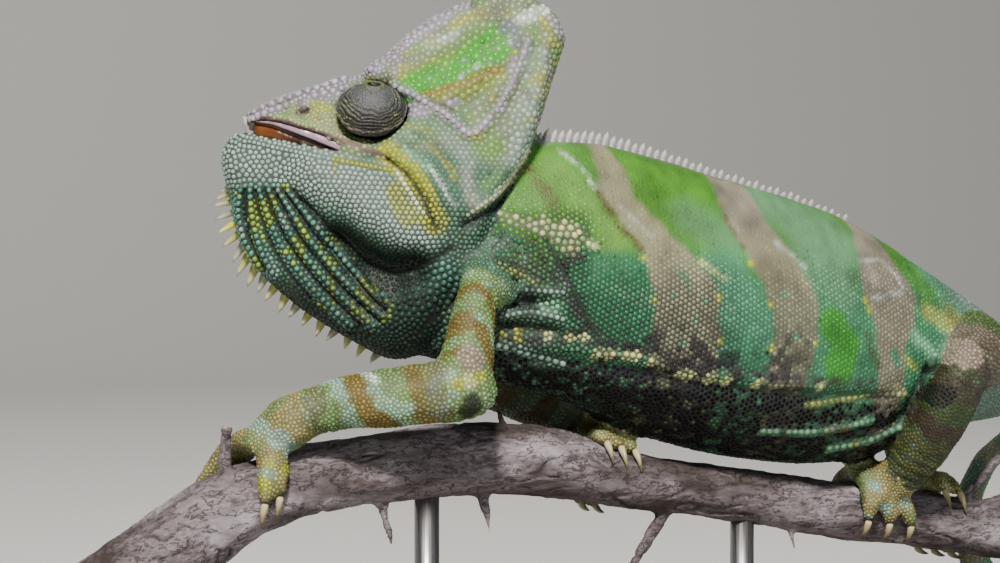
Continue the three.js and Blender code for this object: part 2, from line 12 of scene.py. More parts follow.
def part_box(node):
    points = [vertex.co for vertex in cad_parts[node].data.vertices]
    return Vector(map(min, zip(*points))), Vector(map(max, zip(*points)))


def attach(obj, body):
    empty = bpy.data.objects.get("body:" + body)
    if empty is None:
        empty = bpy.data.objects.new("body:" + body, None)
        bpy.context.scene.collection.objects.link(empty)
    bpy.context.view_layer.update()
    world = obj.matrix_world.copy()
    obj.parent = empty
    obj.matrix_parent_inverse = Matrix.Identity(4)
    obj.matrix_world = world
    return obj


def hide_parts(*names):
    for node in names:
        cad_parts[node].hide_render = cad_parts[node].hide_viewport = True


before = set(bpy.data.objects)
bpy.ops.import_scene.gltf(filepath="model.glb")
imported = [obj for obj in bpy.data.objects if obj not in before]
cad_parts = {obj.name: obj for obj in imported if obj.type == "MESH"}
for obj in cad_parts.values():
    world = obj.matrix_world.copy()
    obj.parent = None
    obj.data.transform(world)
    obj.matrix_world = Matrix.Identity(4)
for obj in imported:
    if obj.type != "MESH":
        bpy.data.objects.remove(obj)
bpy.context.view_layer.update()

bl_info = {
    "name": "Chameleon display model",
    "version": (1, 0, 0),
    "blender": (4, 5, 0),
    "location": "View3D > Sidebar > Chameleon",
    "description": "Builds a life-size veiled chameleon on a branch, with its display stand",
    "category": "Add Mesh",
}

MM = 0.001
NECK = np.array((-30.0, 0.0, 106.0))  # the pivot of the neck, from the middle of the stand's foot
HEAD_TURN = math.radians(-24)

STAND_NODES = ("stand_base", "stand_rod_1", "stand_rod_2")
EYE_NODES = ("left_eye", "right_eye")
CLAW_NODES = tuple(sorted(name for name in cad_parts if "_claw_" in name))
FLESH = tuple(
    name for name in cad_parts
    if name not in STAND_NODES + EYE_NODES + CLAW_NODES + ("perch",)
)
HEAD_PARTS = ("head", "casque", "throat")
TRUNK_PARTS = ("neck", "chest", "belly", "pelvis")

# ---------------------------------------------------------------- colours, sRGB

PALETTE = {
    # body
    "leaf": "#437f18", "leaf_pale": "#628f38", "sage": "#588663", "sea": "#3f8260", "emerald": "#1b6440",
    "vivid": "#2f8622", "mint": "#7fc29a", "tan": "#878068", "tan_pink": "#877c72", "tan_dark": "#5e594c",
    "rust": "#4d4a1e", "yellow": "#a8ad12", "cream": "#bfc888", "cream_green": "#9aa850", "white": "#cdd8d6",
    # The near-black green is the belly's own dark colour, and also painted shade in creases, hollows and
    # limbs in shadow.
    "night": "#080e0b", "rump": "#6f857c", "mustard": "#8d8a34", "crest": "#86848a",
    "plum": "#3a3338",
    # head
    "cheek": "#869f95", "throat": "#3d6550", "throat_teal": "#468272", "lime": "#84a02a",
    "sulphur": "#98a016", "snout": "#8c9668", "lilac": "#9b93a8", "lip": "#5d4642", "pale_lip": "#a79fa4",
    "casque": "#728262",
    "casque_green": "#369c12", "olive": "#959a34", "orange": "#7c6a1e", "mist": "#84988d", "pink": "#aaa4a0",
    # The pocket colour is a near-black green, used only as painted shade.
    "slate": "#6d7880", "bone": "#d0d6ae", "chin": "#889f95", "pocket": "#141f19", "mint_white": "#cfe0d8",
    # limbs
    "limb": "#6a8650", "ochre": "#6b591f", "aqua": "#86a898", "hand": "#8f8654", "knee": "#8d8071",
    "brown": "#5f4c3a",
}


def linear(code):
    """A colour of the palette, or an sRGB hex code, as linear red, green and blue."""
    code = PALETTE.get(code, code)
    parts = [int(code[i:i + 2], 16) / 255 for i in (1, 3, 5)]
    return tuple(c / 12.92 if c <= 0.04045 else ((c + 0.055) / 1.055) ** 2.4 for c in parts)


def opaque(code):
    return (*linear(code), 1.0)


# ---------------------------------------------------------------- small tools


def noise(points, size, seed=0):
    """Smooth noise from -1 to 1 at each point, whose lumps are about size across."""
    place = points / size
    cell = np.floor(place).astype(np.int64)
    inside = place - cell
    inside = inside * inside * (3 - 2 * inside)
    total = np.zeros(len(points))
    for corner in range(8):
        step = np.array([corner & 1, corner >> 1 & 1, corner >> 2 & 1])
        at = cell + step
        key = (at[:, 0] * 73856093) ^ (at[:, 1] * 19349663) ^ (at[:, 2] * 83492791) ^ (seed * 97531 + 17)
        key = ((key ^ (key >> 13)) * 1274126177) & 0xFFFFFFFF
        value = ((key ^ (key >> 15)) & 0xFFFF) / 65535
        total += value * np.prod(np.where(step, inside, 1 - inside), axis=1)
    return total * 2 - 1


def ramp(value, low, high):
    """0 below low, 1 above high, smooth between."""
    share = np.clip((value - low) / (high - low), 0, 1)
    return share * share * (3 - 2 * share)


def curve(path, steps=3):
    """A soft curve through the places of a path; one place or two stay as they are."""
    path = np.asarray(path, float)
    if len(path) < 3:
        return path
    ends = np.concatenate([[2 * path[0] - path[1]], path, [2 * path[-1] - path[-2]]])
    t = (np.arange(steps) / steps)[:, None]
    spans = [
        b + (c - a) * t / 2 + (2 * a - 5 * b + 4 * c - d) * t ** 2 / 2 + (3 * b - a - 3 * c + d) * t ** 3 / 2
        for a, b, c, d in zip(ends, ends[1:], ends[2:], ends[3:])
    ]
    return np.concatenate([*spans, path[-1:]])


def beside(path, rise):
    """The same path a little higher or lower."""
    return [(x, z + rise) for x, z in path]


def path_distance(points, path):
    """Distance of each flat point to a path's curve, and how far along it its nearest place is."""
    best = np.full(len(points), 1e9)
    along = np.zeros(len(points))
    path = curve(path)
    if len(path) == 1:
        return np.hypot(*(points - path[0]).T), along
    steps = np.hypot(*np.diff(path, axis=0).T)
    start = 0.0
    for a, b, length in zip(path, path[1:], steps):
        share = np.clip((points - a) @ (b - a) / length ** 2, 0, 1)
        gap = np.hypot(*(points - a - share[:, None] * (b - a)).T)
        closer = gap < best
        best[closer] = gap[closer]
        along[closer] = (start + share[closer] * length) / steps.sum()
        start += length
    return best, along


def resampled(path, count):
    """The path again with count evenly spaced points."""
    path = np.asarray(path, float)
    steps = np.concatenate([[0], np.cumsum(np.linalg.norm(np.diff(path, axis=0), axis=1))])
    at = np.linspace(0, steps[-1], count)
    return np.stack([np.interp(at, steps, path[:, k]) for k in range(path.shape[1])], axis=1)


def to_animal(points):
    return points / MM - NECK


def to_world(points):
    return (points + NECK) * MM


def turned(points, angle):
    c, s = math.cos(angle), math.sin(angle)
    x, y, z = points.T
    return np.stack([x * c - y * s, x * s + y * c, z], axis=1)


def to_head(points):
    return turned(points, -HEAD_TURN)


def unit(vectors):
    return vectors / np.maximum(np.linalg.norm(vectors, axis=-1, keepdims=True), 1e-12)


def plug(tree, node, inputs):
    """Gives a node's sockets, by name or number, a value or another node's output."""
    for key, value in inputs.items():
        if isinstance(value, bpy.types.NodeSocket):
            tree.links.new(value, node.inputs[key])
        else:
            node.inputs[key].default_value = value


def add_node(tree, kind, inputs=None, **settings):
    """Adds one node to a tree, with its settings and inputs."""
    node = tree.nodes.new(kind)
    for key, value in settings.items():
        setattr(node, key, value)
    plug(tree, node, inputs or {})
    return node


def new_object(name, mesh, scene=True):
    obj = bpy.data.objects.new(name, mesh)
    if scene:
        bpy.context.scene.collection.objects.link(obj)
    return obj


def ring_faces(rings, around):
    """Quads between rings of points that lie one after another."""
    faces = []
    for start in range(0, (rings - 1) * around, around):
        for i in range(around):
            a, b = start + i, start + (i + 1) % around
            faces.append((a, b, b + around, a + around))
    return faces


def mesh_from(name, points, faces):
    mesh = bpy.data.meshes.new(name)
    mesh.from_pydata([tuple(p) for p in points], [], [tuple(int(i) for i in f) for f in faces])
    mesh.update()
    return mesh


def vertex_values(mesh, key):
    flat = np.empty(len(mesh.vertices) * 3, np.float32)
    mesh.vertices.foreach_get(key, flat)
    return flat.reshape(-1, 3).astype(float)


def mesh_points(mesh):
    return vertex_values(mesh, "co")


def mesh_edges(mesh):
    """The two ends of each edge, and how many edges meet at each vertex."""
    ends = np.empty(len(mesh.edges) * 2, np.int32)
    mesh.edges.foreach_get("vertices", ends)
    a, b = ends.reshape(-1, 2).T
    count = len(mesh.vertices)
    return a, b, np.bincount(a, minlength=count) + np.bincount(b, minlength=count)


def move_points(mesh, points):
    mesh.vertices.foreach_set("co", points.astype(np.float32).ravel())
    mesh.update()


def plain_copy(obj, name):
    """The evaluated object as a plain mesh."""
    graph = bpy.context.evaluated_depsgraph_get()
    mesh = bpy.data.meshes.new_from_object(obj.evaluated_get(graph))
    mesh.name = name
    return mesh


def smooth_shaded(mesh):
    mesh.polygons.foreach_set("use_smooth", np.ones(len(mesh.polygons), bool))
    mesh.update()


def surfaced(name, mesh, key, make):
    """A smooth mesh with its material, as an object."""
    smooth_shaded(mesh)
    mesh.materials.append(shared(key, make))
    return new_object(name, mesh)


def paint(mesh, name, colours):
    """Stores one linear colour per vertex under a name that the materials read."""
    layer = mesh.attributes.new(name, "FLOAT_COLOR", "POINT")
    flat = np.ones((len(mesh.vertices), 4), np.float32)
    flat[:, :3] = colours
    layer.data.foreach_set("color", flat.ravel())


def store(mesh, name, values):
    layer = mesh.attributes.new(name, "FLOAT", "POINT")
    layer.data.foreach_set("value", np.asarray(values, np.float32))


def cad_block(names, grow=0.0):
    """CAD nodes copied, merged and joined into one mesh, and the node of each of its faces."""
    joined = bmesh.new()
    owner = []
    for index, name in enumerate(names):
        piece = bmesh.new()
        piece.from_mesh(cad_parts[name].data)
        bmesh.ops.remove_doubles(piece, verts=piece.verts, dist=2e-6)
        piece.normal_update()
        if grow:
            for vert, shift in [(v, v.normal * grow * MM) for v in piece.verts]:
                vert.co += shift
        copy = bpy.data.meshes.new(name)
        piece.to_mesh(copy)
        piece.free()
        joined.from_mesh(copy)
        owner += [index] * len(copy.polygons)
        bpy.data.meshes.remove(copy)
    mesh = bpy.data.meshes.new("block")
    joined.to_mesh(mesh)
    joined.free()
    return mesh, np.array(owner)


def remeshed(mesh, voxel, name):
    """One closed surface of even small faces round a block."""
    obj = new_object(name, mesh)
    change = obj.modifiers.new("Voxels", "REMESH")
    change.mode = "VOXEL"
    change.voxel_size = voxel * MM
    change.adaptivity = 0
    result = plain_copy(obj, name)
    bpy.data.objects.remove(obj)
    return result


def relax(mesh, passes, hold=0.5):
    """Smooths a mesh by a number of passes that may differ from vertex to vertex."""
    points = mesh_points(mesh)
    count = len(points)
    a, b, degree = mesh_edges(mesh)
    for step in range(int(np.max(passes))):
        mean = np.stack([
            np.bincount(a, points[b, k], count) + np.bincount(b, points[a, k], count) for k in range(3)
        ], axis=1) / np.maximum(degree, 1)[:, None]
        share = np.clip(passes - step, 0, 1) * hold
        points += (mean - points) * share[:, None]
    move_points(mesh, points)


def outward(mesh):
    """Merges points that meet and turns every face outward."""
    bm = bmesh.new()
    bm.from_mesh(mesh)
    bmesh.ops.remove_doubles(bm, verts=bm.verts, dist=1e-6)
    bmesh.ops.recalc_face_normals(bm, faces=bm.faces)
    bm.to_mesh(mesh)
    bm.free()


def tree_of(mesh):
    points = mesh_points(mesh)
    faces = [tuple(p.vertices) for p in mesh.polygons]
    return bvhtree.BVHTree.FromPolygons([tuple(p) for p in points], faces)


# ---------------------------------------------------------------- form of the skin

# Lines of the head, x and z in its own frame: each carries relief, a row of scales or a mark, or all three.
UPPER_LIP = [(-62, 34), (-52.4, 33.6), (-47.4, 33.3), (-39, 31), (-30.6, 28), (-23, 25.2)]
LOWER_LIP = [(-62, 30.2), (-52, 30.7), (-47.4, 29.6), (-38, 27.6), (-30.6, 26.2), (-23, 24.8)]
CANTHUS = [(-55, 34), (-46, 37.5), (-37.5, 40.5), (-27, 44)]
UNDER_CANTHUS = [(-50.5, 34.5), (-44.5, 36.5)]
BROW_ROW = [(-38.5, 38.5), (-33, 40)]
CASQUE_EDGE = [(-26, 45), (-17, 52.5), (-8, 58)]
CASQUE_SEAM = [(-16.5, 38.5), (-8, 41), (0, 44.5)]
SIDE_CREST = [(-22, 40.5), (-12, 35), (-6.5, 30.5), (-2.5, 34)]
SIDE_CREST_REAR = [(-1, 35.5), (2.5, 42), (5.5, 50)]
NAPE_EDGE = [(5.5, 27), (1, 20), (-7, 14)]
MOUTH_FOLD = [(-23.5, 25.5), (-18, 20.5), (-13.5, 11)]
NOSTRIL = [(-41.5, 35), (-40.5, 35.5)]
POCKET = [(-33.5, 8.5), (-26, 3.5), (-18.5, 3)]
# Ridges (+) and hollows (-) of the head: path, half width, height.
HEAD_RELIEF = {
    "canthal ridge": (beside(CANTHUS, -0.5), 1.7, 0.7),
    "brow": ([(-34.5, 41), (-25, 44), (-17.5, 39)], 1.6, 0.8),
    "socket": ([(-35, 35.5), (-33, 31.5), (-27, 29), (-19, 35.5), (-20.5, 40.5)], 1.0, -0.7),
    "under eye fold": ([(-35, 29.5), (-27, 27), (-18, 30)], 1.0, 0.5),
    "casque hollow": ([(-18, 42), (0, 51)], 3.4, -0.8),
    "casque ledge": ([(-15, 38.5), (-9, 39.5), (1, 45.5)], 1.1, 0.6),
    "casque hollow low": ([(-8, 36.5), (-3, 39)], 2.2, -0.9),
    "parietal edge": ([(-25, 46.5), (-10, 56.5), (-2, 59)], 1.4, 0.6),
    "side crest": ([*SIDE_CREST, *SIDE_CREST_REAR[1:]], 1.15, 1.0),
    "rear rim": ([(9.5, 50), (5, 30), (-5, 15.5)], 1.5, 0.9),
    "temple hollow": ([(-15, 29), (-4, 19)], 3, -0.7),
    "upper lip": (beside(UPPER_LIP, 1), 0.8, 0.4),
    "lip groove": ([(-52, 36), (-44, 35.5), (-31, 30.5)], 0.9, -0.3),
    "lower lip": (beside(LOWER_LIP, -1), 0.8, 0.3),
    "corner fold": ([(-23, 27.5), (-16.5, 21.5), (-12.5, 13)], 1.2, 0.5),
    "jaw muscle": ([(-39, 22), (-20, 10)], 4.6, 1.9),
    "jaw tip": ([(-61, 29)], 2.6, 1.1),
    "nostril rim": ([(-41, 35.5)], 1.8, 0.4),
    "nostril": (NOSTRIL, 0.6, -2.2),
    "pocket top": ([(-41, 17), (-35, 11)], 1.1, -1.2),
    "pocket": (POCKET, 3.1, -4.0),
    "pocket floor": ([(-29, 3), (-22, -0.5)], 2.2, -1.6),
}
# The throat's folds: each is a row of beads along its top, with a crease between it and the next.
THROAT = {"folds": 6, "top": 19.0, "first": -54.0, "apart": 2.0}
FOLD_ENDS = [(-50.5, 3.5), (-47.5, 2), (-32, -8.5), (-26.5, -9), (-24.5, -7), (-24, -5)]


def throat_fold(number):
    """A fold from the jaw down: the first bows forward and is short, the later ones sweep to the pouch."""
    order = np.arange(THROAT["folds"])
    top = np.array((THROAT["first"] + THROAT["apart"] * number, THROAT["top"]))
    bend = np.array((-56 + 4.5 * number, 4 + 0.6 * (number - 3.5) ** 2))
    end = np.array([np.interp(number, order, axis) for axis in zip(*FOLD_ENDS)])
    return [tuple(top * (1 - t) ** 2 + bend * 2 * t * (1 - t) + end * t * t) for t in (0, 0.35, 0.7, 1)]


THROAT_RIDGES = [throat_fold(number) for number in range(THROAT["folds"])]
# Creases, which are both cut into the skin and darkened with painted shade: path, half width, depth.
HEAD_CREASES = [
    *[(throat_fold(number + 0.5), 0.4 + 0.03 * number, 0.9) for number in range(THROAT["folds"])],
    (MOUTH_FOLD, 0.4, 0.9),
    ([(-15, 37.5), (-10.5, 36)], 0.4, 0.5),
    ([(5, 23.5), (0, 16.5), (-7.5, 12)], 0.95, 1.5),
    ([(-21, 29.5), (-16, 24.5), (-11.5, 18.5)], 0.35, 0.35),
    ([(-18, 31), (-12.5, 26.5), (-9, 20)], 0.3, 0.3),
    ([(-20, 4.5), (-15, 4.5), (-10.5, 7)], 0.7, 0.7),
]
# Lines of the trunk, x and z in the animal's frame.
FLANK_ROW = [(15.5, -15), (24, -15.5), (34, -19.5), (50, -22), (66.5, -23)]
LOW_ROW = [(64, -27), (80, -25.5), (90, -25.5)]
BELLY_FOLD = [(55, -32.5), (68, -33), (82, -31)]
GROIN_FOLD = [(73, -37), (82, -36), (90, -33)]
BRISKET = [(-5, -13), (1, -14.5), (9, -17)]
ARMPIT_ROW = [(-5.5, -1), (0.5, -1.5), (7, -2)]
ARMPIT_ROW_LOW = [(-5.5, -7), (0.5, -6), (7, -7.5)]
SHOULDER_ROW = [(-4, 14), (2, 11.5), (9, 10), (14.5, 7.5)]
# Ridges and hollows of the trunk, then its creases, both as on the head.
TRUNK_RELIEF = {
    "flank crease": ([(-4, -14.5), (18, -17.5), (50, -23.5), (84, -26.5)], 1.5, -1.2),
    "flank row": ([(-4, -13), (16, -14.5), (36, -19.5), (66, -23)], 1.2, 0.6),
    "shoulder blade": ([(-4, 8), (2, 8.5), (8, 7)], 4, 0.7),
    "armpit": ([(-4.5, -3.5), (3, -4.5)], 1.7, -1.8),
    "armpit low": ([(-4.5, -9), (6, -10)], 1.1, -1.3),
    "armpit ridge": (ARMPIT_ROW, 0.7, 0.6),
    "armpit ridge low": (ARMPIT_ROW_LOW, 0.9, 0.8),
    "brisket fold": (BRISKET, 0.9, 0.8),
    "belly fold": (BELLY_FOLD, 1.1, 0.7),
    "groin fold": (GROIN_FOLD, 1.2, 0.8),
    "groin": ([(97, -21), (91, -31)], 2.2, -1.6),
}
TRUNK_CREASES = [
    ([(-14, -4.5), (-8, 2.5), (0.5, -1.5)], 0.45, 0.8),
    ([(-14, 1.5), (-6.5, 5), (4, 0)], 0.4, 0.5),
    ([(-6, 13), (-11.5, 8), (-15, 0.5)], 0.5, 0.8),
    ([(-4, 10.5), (-10.5, 3.5)], 0.35, 0.4),
    ([(1, 9), (6, -0.5)], 0.4, 0.5),
    ([(4.5, 8.5), (8, 1), (14.5, -11)], 0.6, 0.6),
    ([(-5, -4.5), (2, -4.5)], 0.5, 0.5),
]
# Thin scaled rows of wrinkles that run down and back over the shoulder and flank: spacing and depth.
FLANK_WRINKLES = {"angle": -38, "spacing": 2.1, "depth": 0.14}
SKIN_DEPTH = 0.28  # how far the skin lies over the flesh before it is smoothed
# Passes of smoothing for each part, and how far along the upper arms the flesh of the trunk reaches.
PASSES = {"head": 5, "casque": 6, "throat": 10, "neck": 40, "chest": 60, "belly": 60, "pelvis": 44,
          "tail_1": 34, "tail_2": 24, "tail_3": 14, "tail_4": 8, "tail_5": 4}
MELT = {"left_fore_upper_arm": (0.1, 0.4), "right_fore_upper_arm": (0.15, 0.5)}

# Outline of the throat's keel in the head's frame, and height of the back, both without their cones.
THROAT_EDGE = [
    (-57.8, 26), (-57.3, 20.4), (-56, 15.8), (-54.8, 9.8), (-52.6, 4.4), (-50, 1.2), (-46.2, -2.3),
    (-42, -5.9), (-37.8, -8.7), (-33.6, -11.3), (-29.4, -13.6), (-25, -16.2), (-20.5, -17), (-17, -15.4),
]
BACK = [
    (1, 26.4), (10, 29.6), (23, 29.4), (35, 26.7), (47, 23.3), (60, 20), (72, 17), (85, 12.4), (98, 5),
    (111, -2.6), (126, -11.8),
]


def height_of(line, x):
    """How high a line of two-number places stands over x."""
    return np.interp(x, *np.array(line).T)


def gap_to(points, paths):
    """Distance of each flat point to the nearest of several paths."""
    return np.min([path_distance(points, path)[0] for path in paths], axis=0)


NEXT_SEGMENT = {"upper_arm": "forearm", "forearm": "foot", "thigh": "shank", "shank": "foot"}


def long_axis(name):
    """A part's long axis as its start, direction and length, from root to tip."""
    points = np.unique(np.round(to_animal(mesh_points(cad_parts[name].data)), 4), axis=0)
    middle = (points.min(0) + points.max(0)) / 2
    _, _, axes = np.linalg.svd(points - points.mean(0), full_matrices=False)
    along = axes[0] if axes[0][0] > 0 else -axes[0]
    for segment, following in NEXT_SEGMENT.items():
        if name.endswith(segment):
            goal = to_animal(mesh_points(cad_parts[name[:-len(segment)] + following].data)).mean(0)
            along = along if (goal - middle) @ along > 0 else -along
    reach = (points - middle) @ along
    return middle + along * reach.min(), along, reach.max() - reach.min()


class Skin:
    """The flesh as one skin: its mesh, and for each vertex the CAD part it belongs to and its places."""

    def __init__(self):
        tools = bpy.context.scene.chameleon_skin
        block, owner = cad_block(FLESH, SKIN_DEPTH)
        self.block, self.owner = tree_of(block), owner
        self.mesh = remeshed(block, tools.voxel / MM, "skin")
        self.axes = {name: long_axis(name) for name in FLESH}
        self.place()
        self.flatten_cones()
        self.melt_shoulders()
        passes = np.zeros(len(self.points))
        for index, name in enumerate(FLESH):
            if name in PASSES:
                amount = PASSES[name]
            else:
                amount = 4 if name.endswith("foot") else 14
            passes[self.part == index] = amount
        for name, (_, end) in MELT.items():
            start, along, length = self.axes[name]
            near = (self.part == FLESH.index(name)) & ((self.points - start) @ along / length < end + 0.1)
            passes[near] = 40
        relax(self.mesh, self.spread(passes, 8))
        self.refine()
        relax(self.mesh, np.full(len(self.mesh.vertices), 1.0))
        self.place()
        self.carve(tools.folds)
        self.place()
        self.jaw = np.array([(x, self.half_width(x, LOWER_LIP, -0.7)) for x in np.linspace(-58, -23, 30)])

    def place(self):
        """Reads where each vertex lies: in the animal's frame, the head's frame, and on which part."""
        world = mesh_points(self.mesh)
        self.points = to_animal(world)
        self.head = to_head(self.points)
        self.normals = vertex_values(self.mesh, "normal")
        if not hasattr(self, "part") or len(self.part) != len(world):
            self.part = self.parts_at(world)
        self.surface = tree_of(self.mesh)
        self.on_head = belongs(self.part, HEAD_PARTS)
        self.on_trunk = belongs(self.part, TRUNK_PARTS)

    def half_width(self, x, lip, rise):
        """From the middle of the head to its skin, a little above or below a lip."""
        z = height_of(lip, x) + rise
        start, way = (turned(np.array([p]), HEAD_TURN) for p in ((x, -0.05, z), (0.0, -1.0, 0.0)))
        hit = self.surface.ray_cast(Vector(to_world(start)[0]), Vector(way[0]), 0.03)
        return (hit[3] or 0.0005) / MM

    def parts_at(self, world):
        return np.array([self.owner[self.block.find_nearest(p)[2]] for p in world])

    def spread(self, values, passes):
        """Blurs a value over the skin, so that it changes softly from part to part."""
        a, b, degree = mesh_edges(self.mesh)
        count = len(values)
        for _ in range(passes):
            values = (np.bincount(a, values[b], count) + np.bincount(b, values[a], count)) / degree
        return values

    def flatten_cones(self):
        """Takes the stubs of the crests off the skin, where proper cones stand later."""
        line = resampled(THROAT_EDGE, 60)
        inward = np.array((-18.0, 14.0))
        low = self.on_head & (np.abs(self.head[:, 1]) < 2.4) & (self.head[:, 0] < -18)
        places = self.head[low][:, [0, 2]]
        nearest = np.array([line[np.argmin(np.hypot(*(line - p).T))] for p in places])
        outside = np.hypot(*(places - inward).T) > np.hypot(*(nearest - inward).T) - 0.3
        index = np.flatnonzero(low)[outside]
        self.head[index[:, None], [0, 2]] = nearest[outside] + unit(inward - nearest[outside]) * 0.3
        points = turned(self.head, HEAD_TURN)
        back = height_of(BACK, points[:, 0]) - 0.2
        high = self.on_trunk & (points[:, 0] > 3) & (points[:, 0] < 76) & (np.abs(points[:, 1]) < 2)
        high &= points[:, 2] > back
        points[high, 2] = back[high]
        move_points(self.mesh, to_world(points))

    def melt_shoulders(self):
        """Sinks the root of each fore limb into the flesh that it grows from."""
        trunk, _ = cad_block(TRUNK_PARTS + HEAD_PARTS, SKIN_DEPTH)
        surface = tree_of(trunk)
        bpy.data.meshes.remove(trunk)
        points = mesh_points(self.mesh)
        for name, (begin, end) in MELT.items():
            start, along, length = self.axes[name]
            here = np.flatnonzero(self.part == FLESH.index(name))
            share = (to_animal(points[here]) - start) @ along / length
            for index, pull in zip(here, 1 - ramp(share, begin, end)):
                if pull > 0:
                    goal = np.array(surface.find_nearest(points[index])[0])
                    points[index] += (goal - points[index]) * pull
        move_points(self.mesh, points)

    def refine(self):
        """Divides the skin's faces where the throat's folds and the lips need finer ones."""
        self.place()
        flat = self.head[:, [0, 2]]
        fine = self.on_head & (np.abs(self.head[:, 1]) > 0.6)
        fine &= (gap_to(flat, THROAT_RIDGES) < 1.5) | (gap_to(flat, [UPPER_LIP, LOWER_LIP]) < 1.3)
        bm = bmesh.new()
        bm.from_mesh(self.mesh)
        bm.verts.ensure_lookup_table()
        edges = [e for e in bm.edges if fine[e.verts[0].index] and fine[e.verts[1].index]]
        bmesh.ops.subdivide_edges(bm, edges=edges, cuts=1, use_grid_fill=True)
        bmesh.ops.triangulate(bm, faces=[f for f in bm.faces if len(f.verts) > 4])
        bm.to_mesh(self.mesh)
        bm.free()
        del self.part

    def carve(self, strength):
        """Pushes the ridges and creases in and out along the skin's normals."""
        push = np.zeros(len(self.points))
        off_middle = ramp(np.abs(self.head[:, 1]), 1.2, 3.4)
        side = ramp(np.abs(self.points[:, 1]), 2, 6)
        for mask, flat, relief, creases in (
            (self.on_head * off_middle, self.head[:, [0, 2]], HEAD_RELIEF, HEAD_CREASES),
            (self.on_trunk * side, self.points[:, [0, 2]], TRUNK_RELIEF, TRUNK_CREASES),
        ):
            for path, width, height in relief.values():
                push += mask * height * np.exp(-(path_distance(flat, path)[0] / width) ** 2)
            for path, width, depth in creases:
                push -= mask * depth * np.exp(-(path_distance(flat, path)[0] / width) ** 2)
        fold = np.exp(-(gap_to(self.head[:, [0, 2]], THROAT_RIDGES) / 0.9) ** 2)
        push += self.on_head * ramp(np.abs(self.head[:, 1]), 0.8, 2) * 0.7 * fold
        wrinkles = FLANK_WRINKLES["depth"] * flank_wrinkles(self.points)
        push += self.on_trunk * (0.2 * noise(self.points, 7, 3) - wrinkles)
        for index, name in enumerate(FLESH):
            if not name.startswith(("left_", "right_")):
                continue
            here = self.part == index
            start, along, length = self.axes[name]
            share = (self.points[here] - start) @ along / length
            lumps = noise(self.points[here] + 3, 3.4, 5)
            joint = np.full(here.sum(), 0.35 if name.endswith("foot") else 0.8)
            if name.endswith(("forearm", "shank")):
                joint = 0.15 + np.exp(-((share - 0.02) / 0.2) ** 2) + np.exp(-((share - 0.95) / 0.16) ** 2)
            wave = np.sin((share * length + lumps * 0.9) * 2 * math.pi / 2.1)
            push[here] += 0.17 * joint * wave + 0.2 * lumps
        move_points(self.mesh, to_world(self.points + self.normals * (push * strength)[:, None]))


def flank_wrinkles(points):
    """Height from 0 to 1 of the fine wrinkles between the rows of scales, strongest low on the flank."""
    shape = FLANK_WRINKLES
    angle = math.radians(shape["angle"])
    across = points[:, 0] * math.sin(angle) - points[:, 2] * math.cos(angle) + noise(points, 5, 4) * 0.9
    wave = np.sin(across * 2 * math.pi / shape["spacing"]) ** 8
    return wave * ramp(-points[:, 2] + noise(points, 9, 6) * 4, -12, -2)


# ---------------------------------------------------------------- markings

# The three tan bars of each flank: height, middle and half width from top to foot, and their colours.
BARS = [
    ([(28, 21, 2.5), (18, 21.5, 4), (7, 29.5, 5), (-1, 34, 7.5), (-20, 34, 7.5)], ("tan", "tan", "tan_dark")),
    ([(22, 51.5, 4.5), (11.5, 52, 5.5), (0, 59, 6.5), (-7, 60.5, 6), (-22, 57.5, 5)],
     ("tan_pink", "tan", "tan_dark")),
    ([(16, 84, 3.5), (10, 85, 3.5), (-4, 87.5, 8), (-11, 87, 6), (-16, 85.5, 4), (-24, 85.5, 3.5)],
     ("tan_pink", "tan_pink", "tan")),
]


def bar_edges(stations, height):
    """Where a bar begins and ends along the flank at each height."""
    z, middle, half = np.array(stations[::-1]).T
    return (np.interp(height, z, middle) + side * np.interp(height, z, half) for side in (-1, 1))


# Marks on the trunk, in the order that they are laid: colour, path x, z, half width, softness, strength.
TRUNK_GROUND = [
    ("leaf", [(2, 24), (13, 24), (20, 12)], 6, 6, 0.8),
    ("leaf_pale", [(9, 24), (19, 9)], 2.6, 4, 0.6),
    ("leaf", [(26, 26), (44, 18)], 5, 5, 0.95),
    ("sage", [(38, 13), (46, 9)], 4, 6, 0.6),
    ("sage", [(60, 17), (76, 6)], 6, 7, 0.8),
    ("leaf", [(90, 6), (100, -4)], 3, 4, 0.7),
    ("sage", [(66, 4), (74, -2)], 5, 6, 0.7),
    ("emerald", [(10, 3), (25, 2)], 4, 4, 0.9),
    ("emerald", [(12, -5), (25, -10)], 4.5, 4, 0.95),
    ("sea", [(43, 0), (50, -8), (47, -16)], 6, 4, 0.9),
    ("emerald", [(43, -12), (50, -17)], 3, 4, 0.6),
    ("vivid", [(70, -10), (73, -14), (71, -19)], 3.8, 1.8, 1),
    ("mint", [(93, -12.5), (97, -18), (94.5, -22)], 1.5, 1.6, 0.85),
    ("cream_green", [(98, -7.5), (106, -12.5)], 1.8, 2.4, 0.75),
    ("mustard", [(105, -9), (114.5, -17)], 2.6, 2.6, 0.6),
    ("rump", [(113, 2), (128, -26)], 7, 6, 0.8),
]
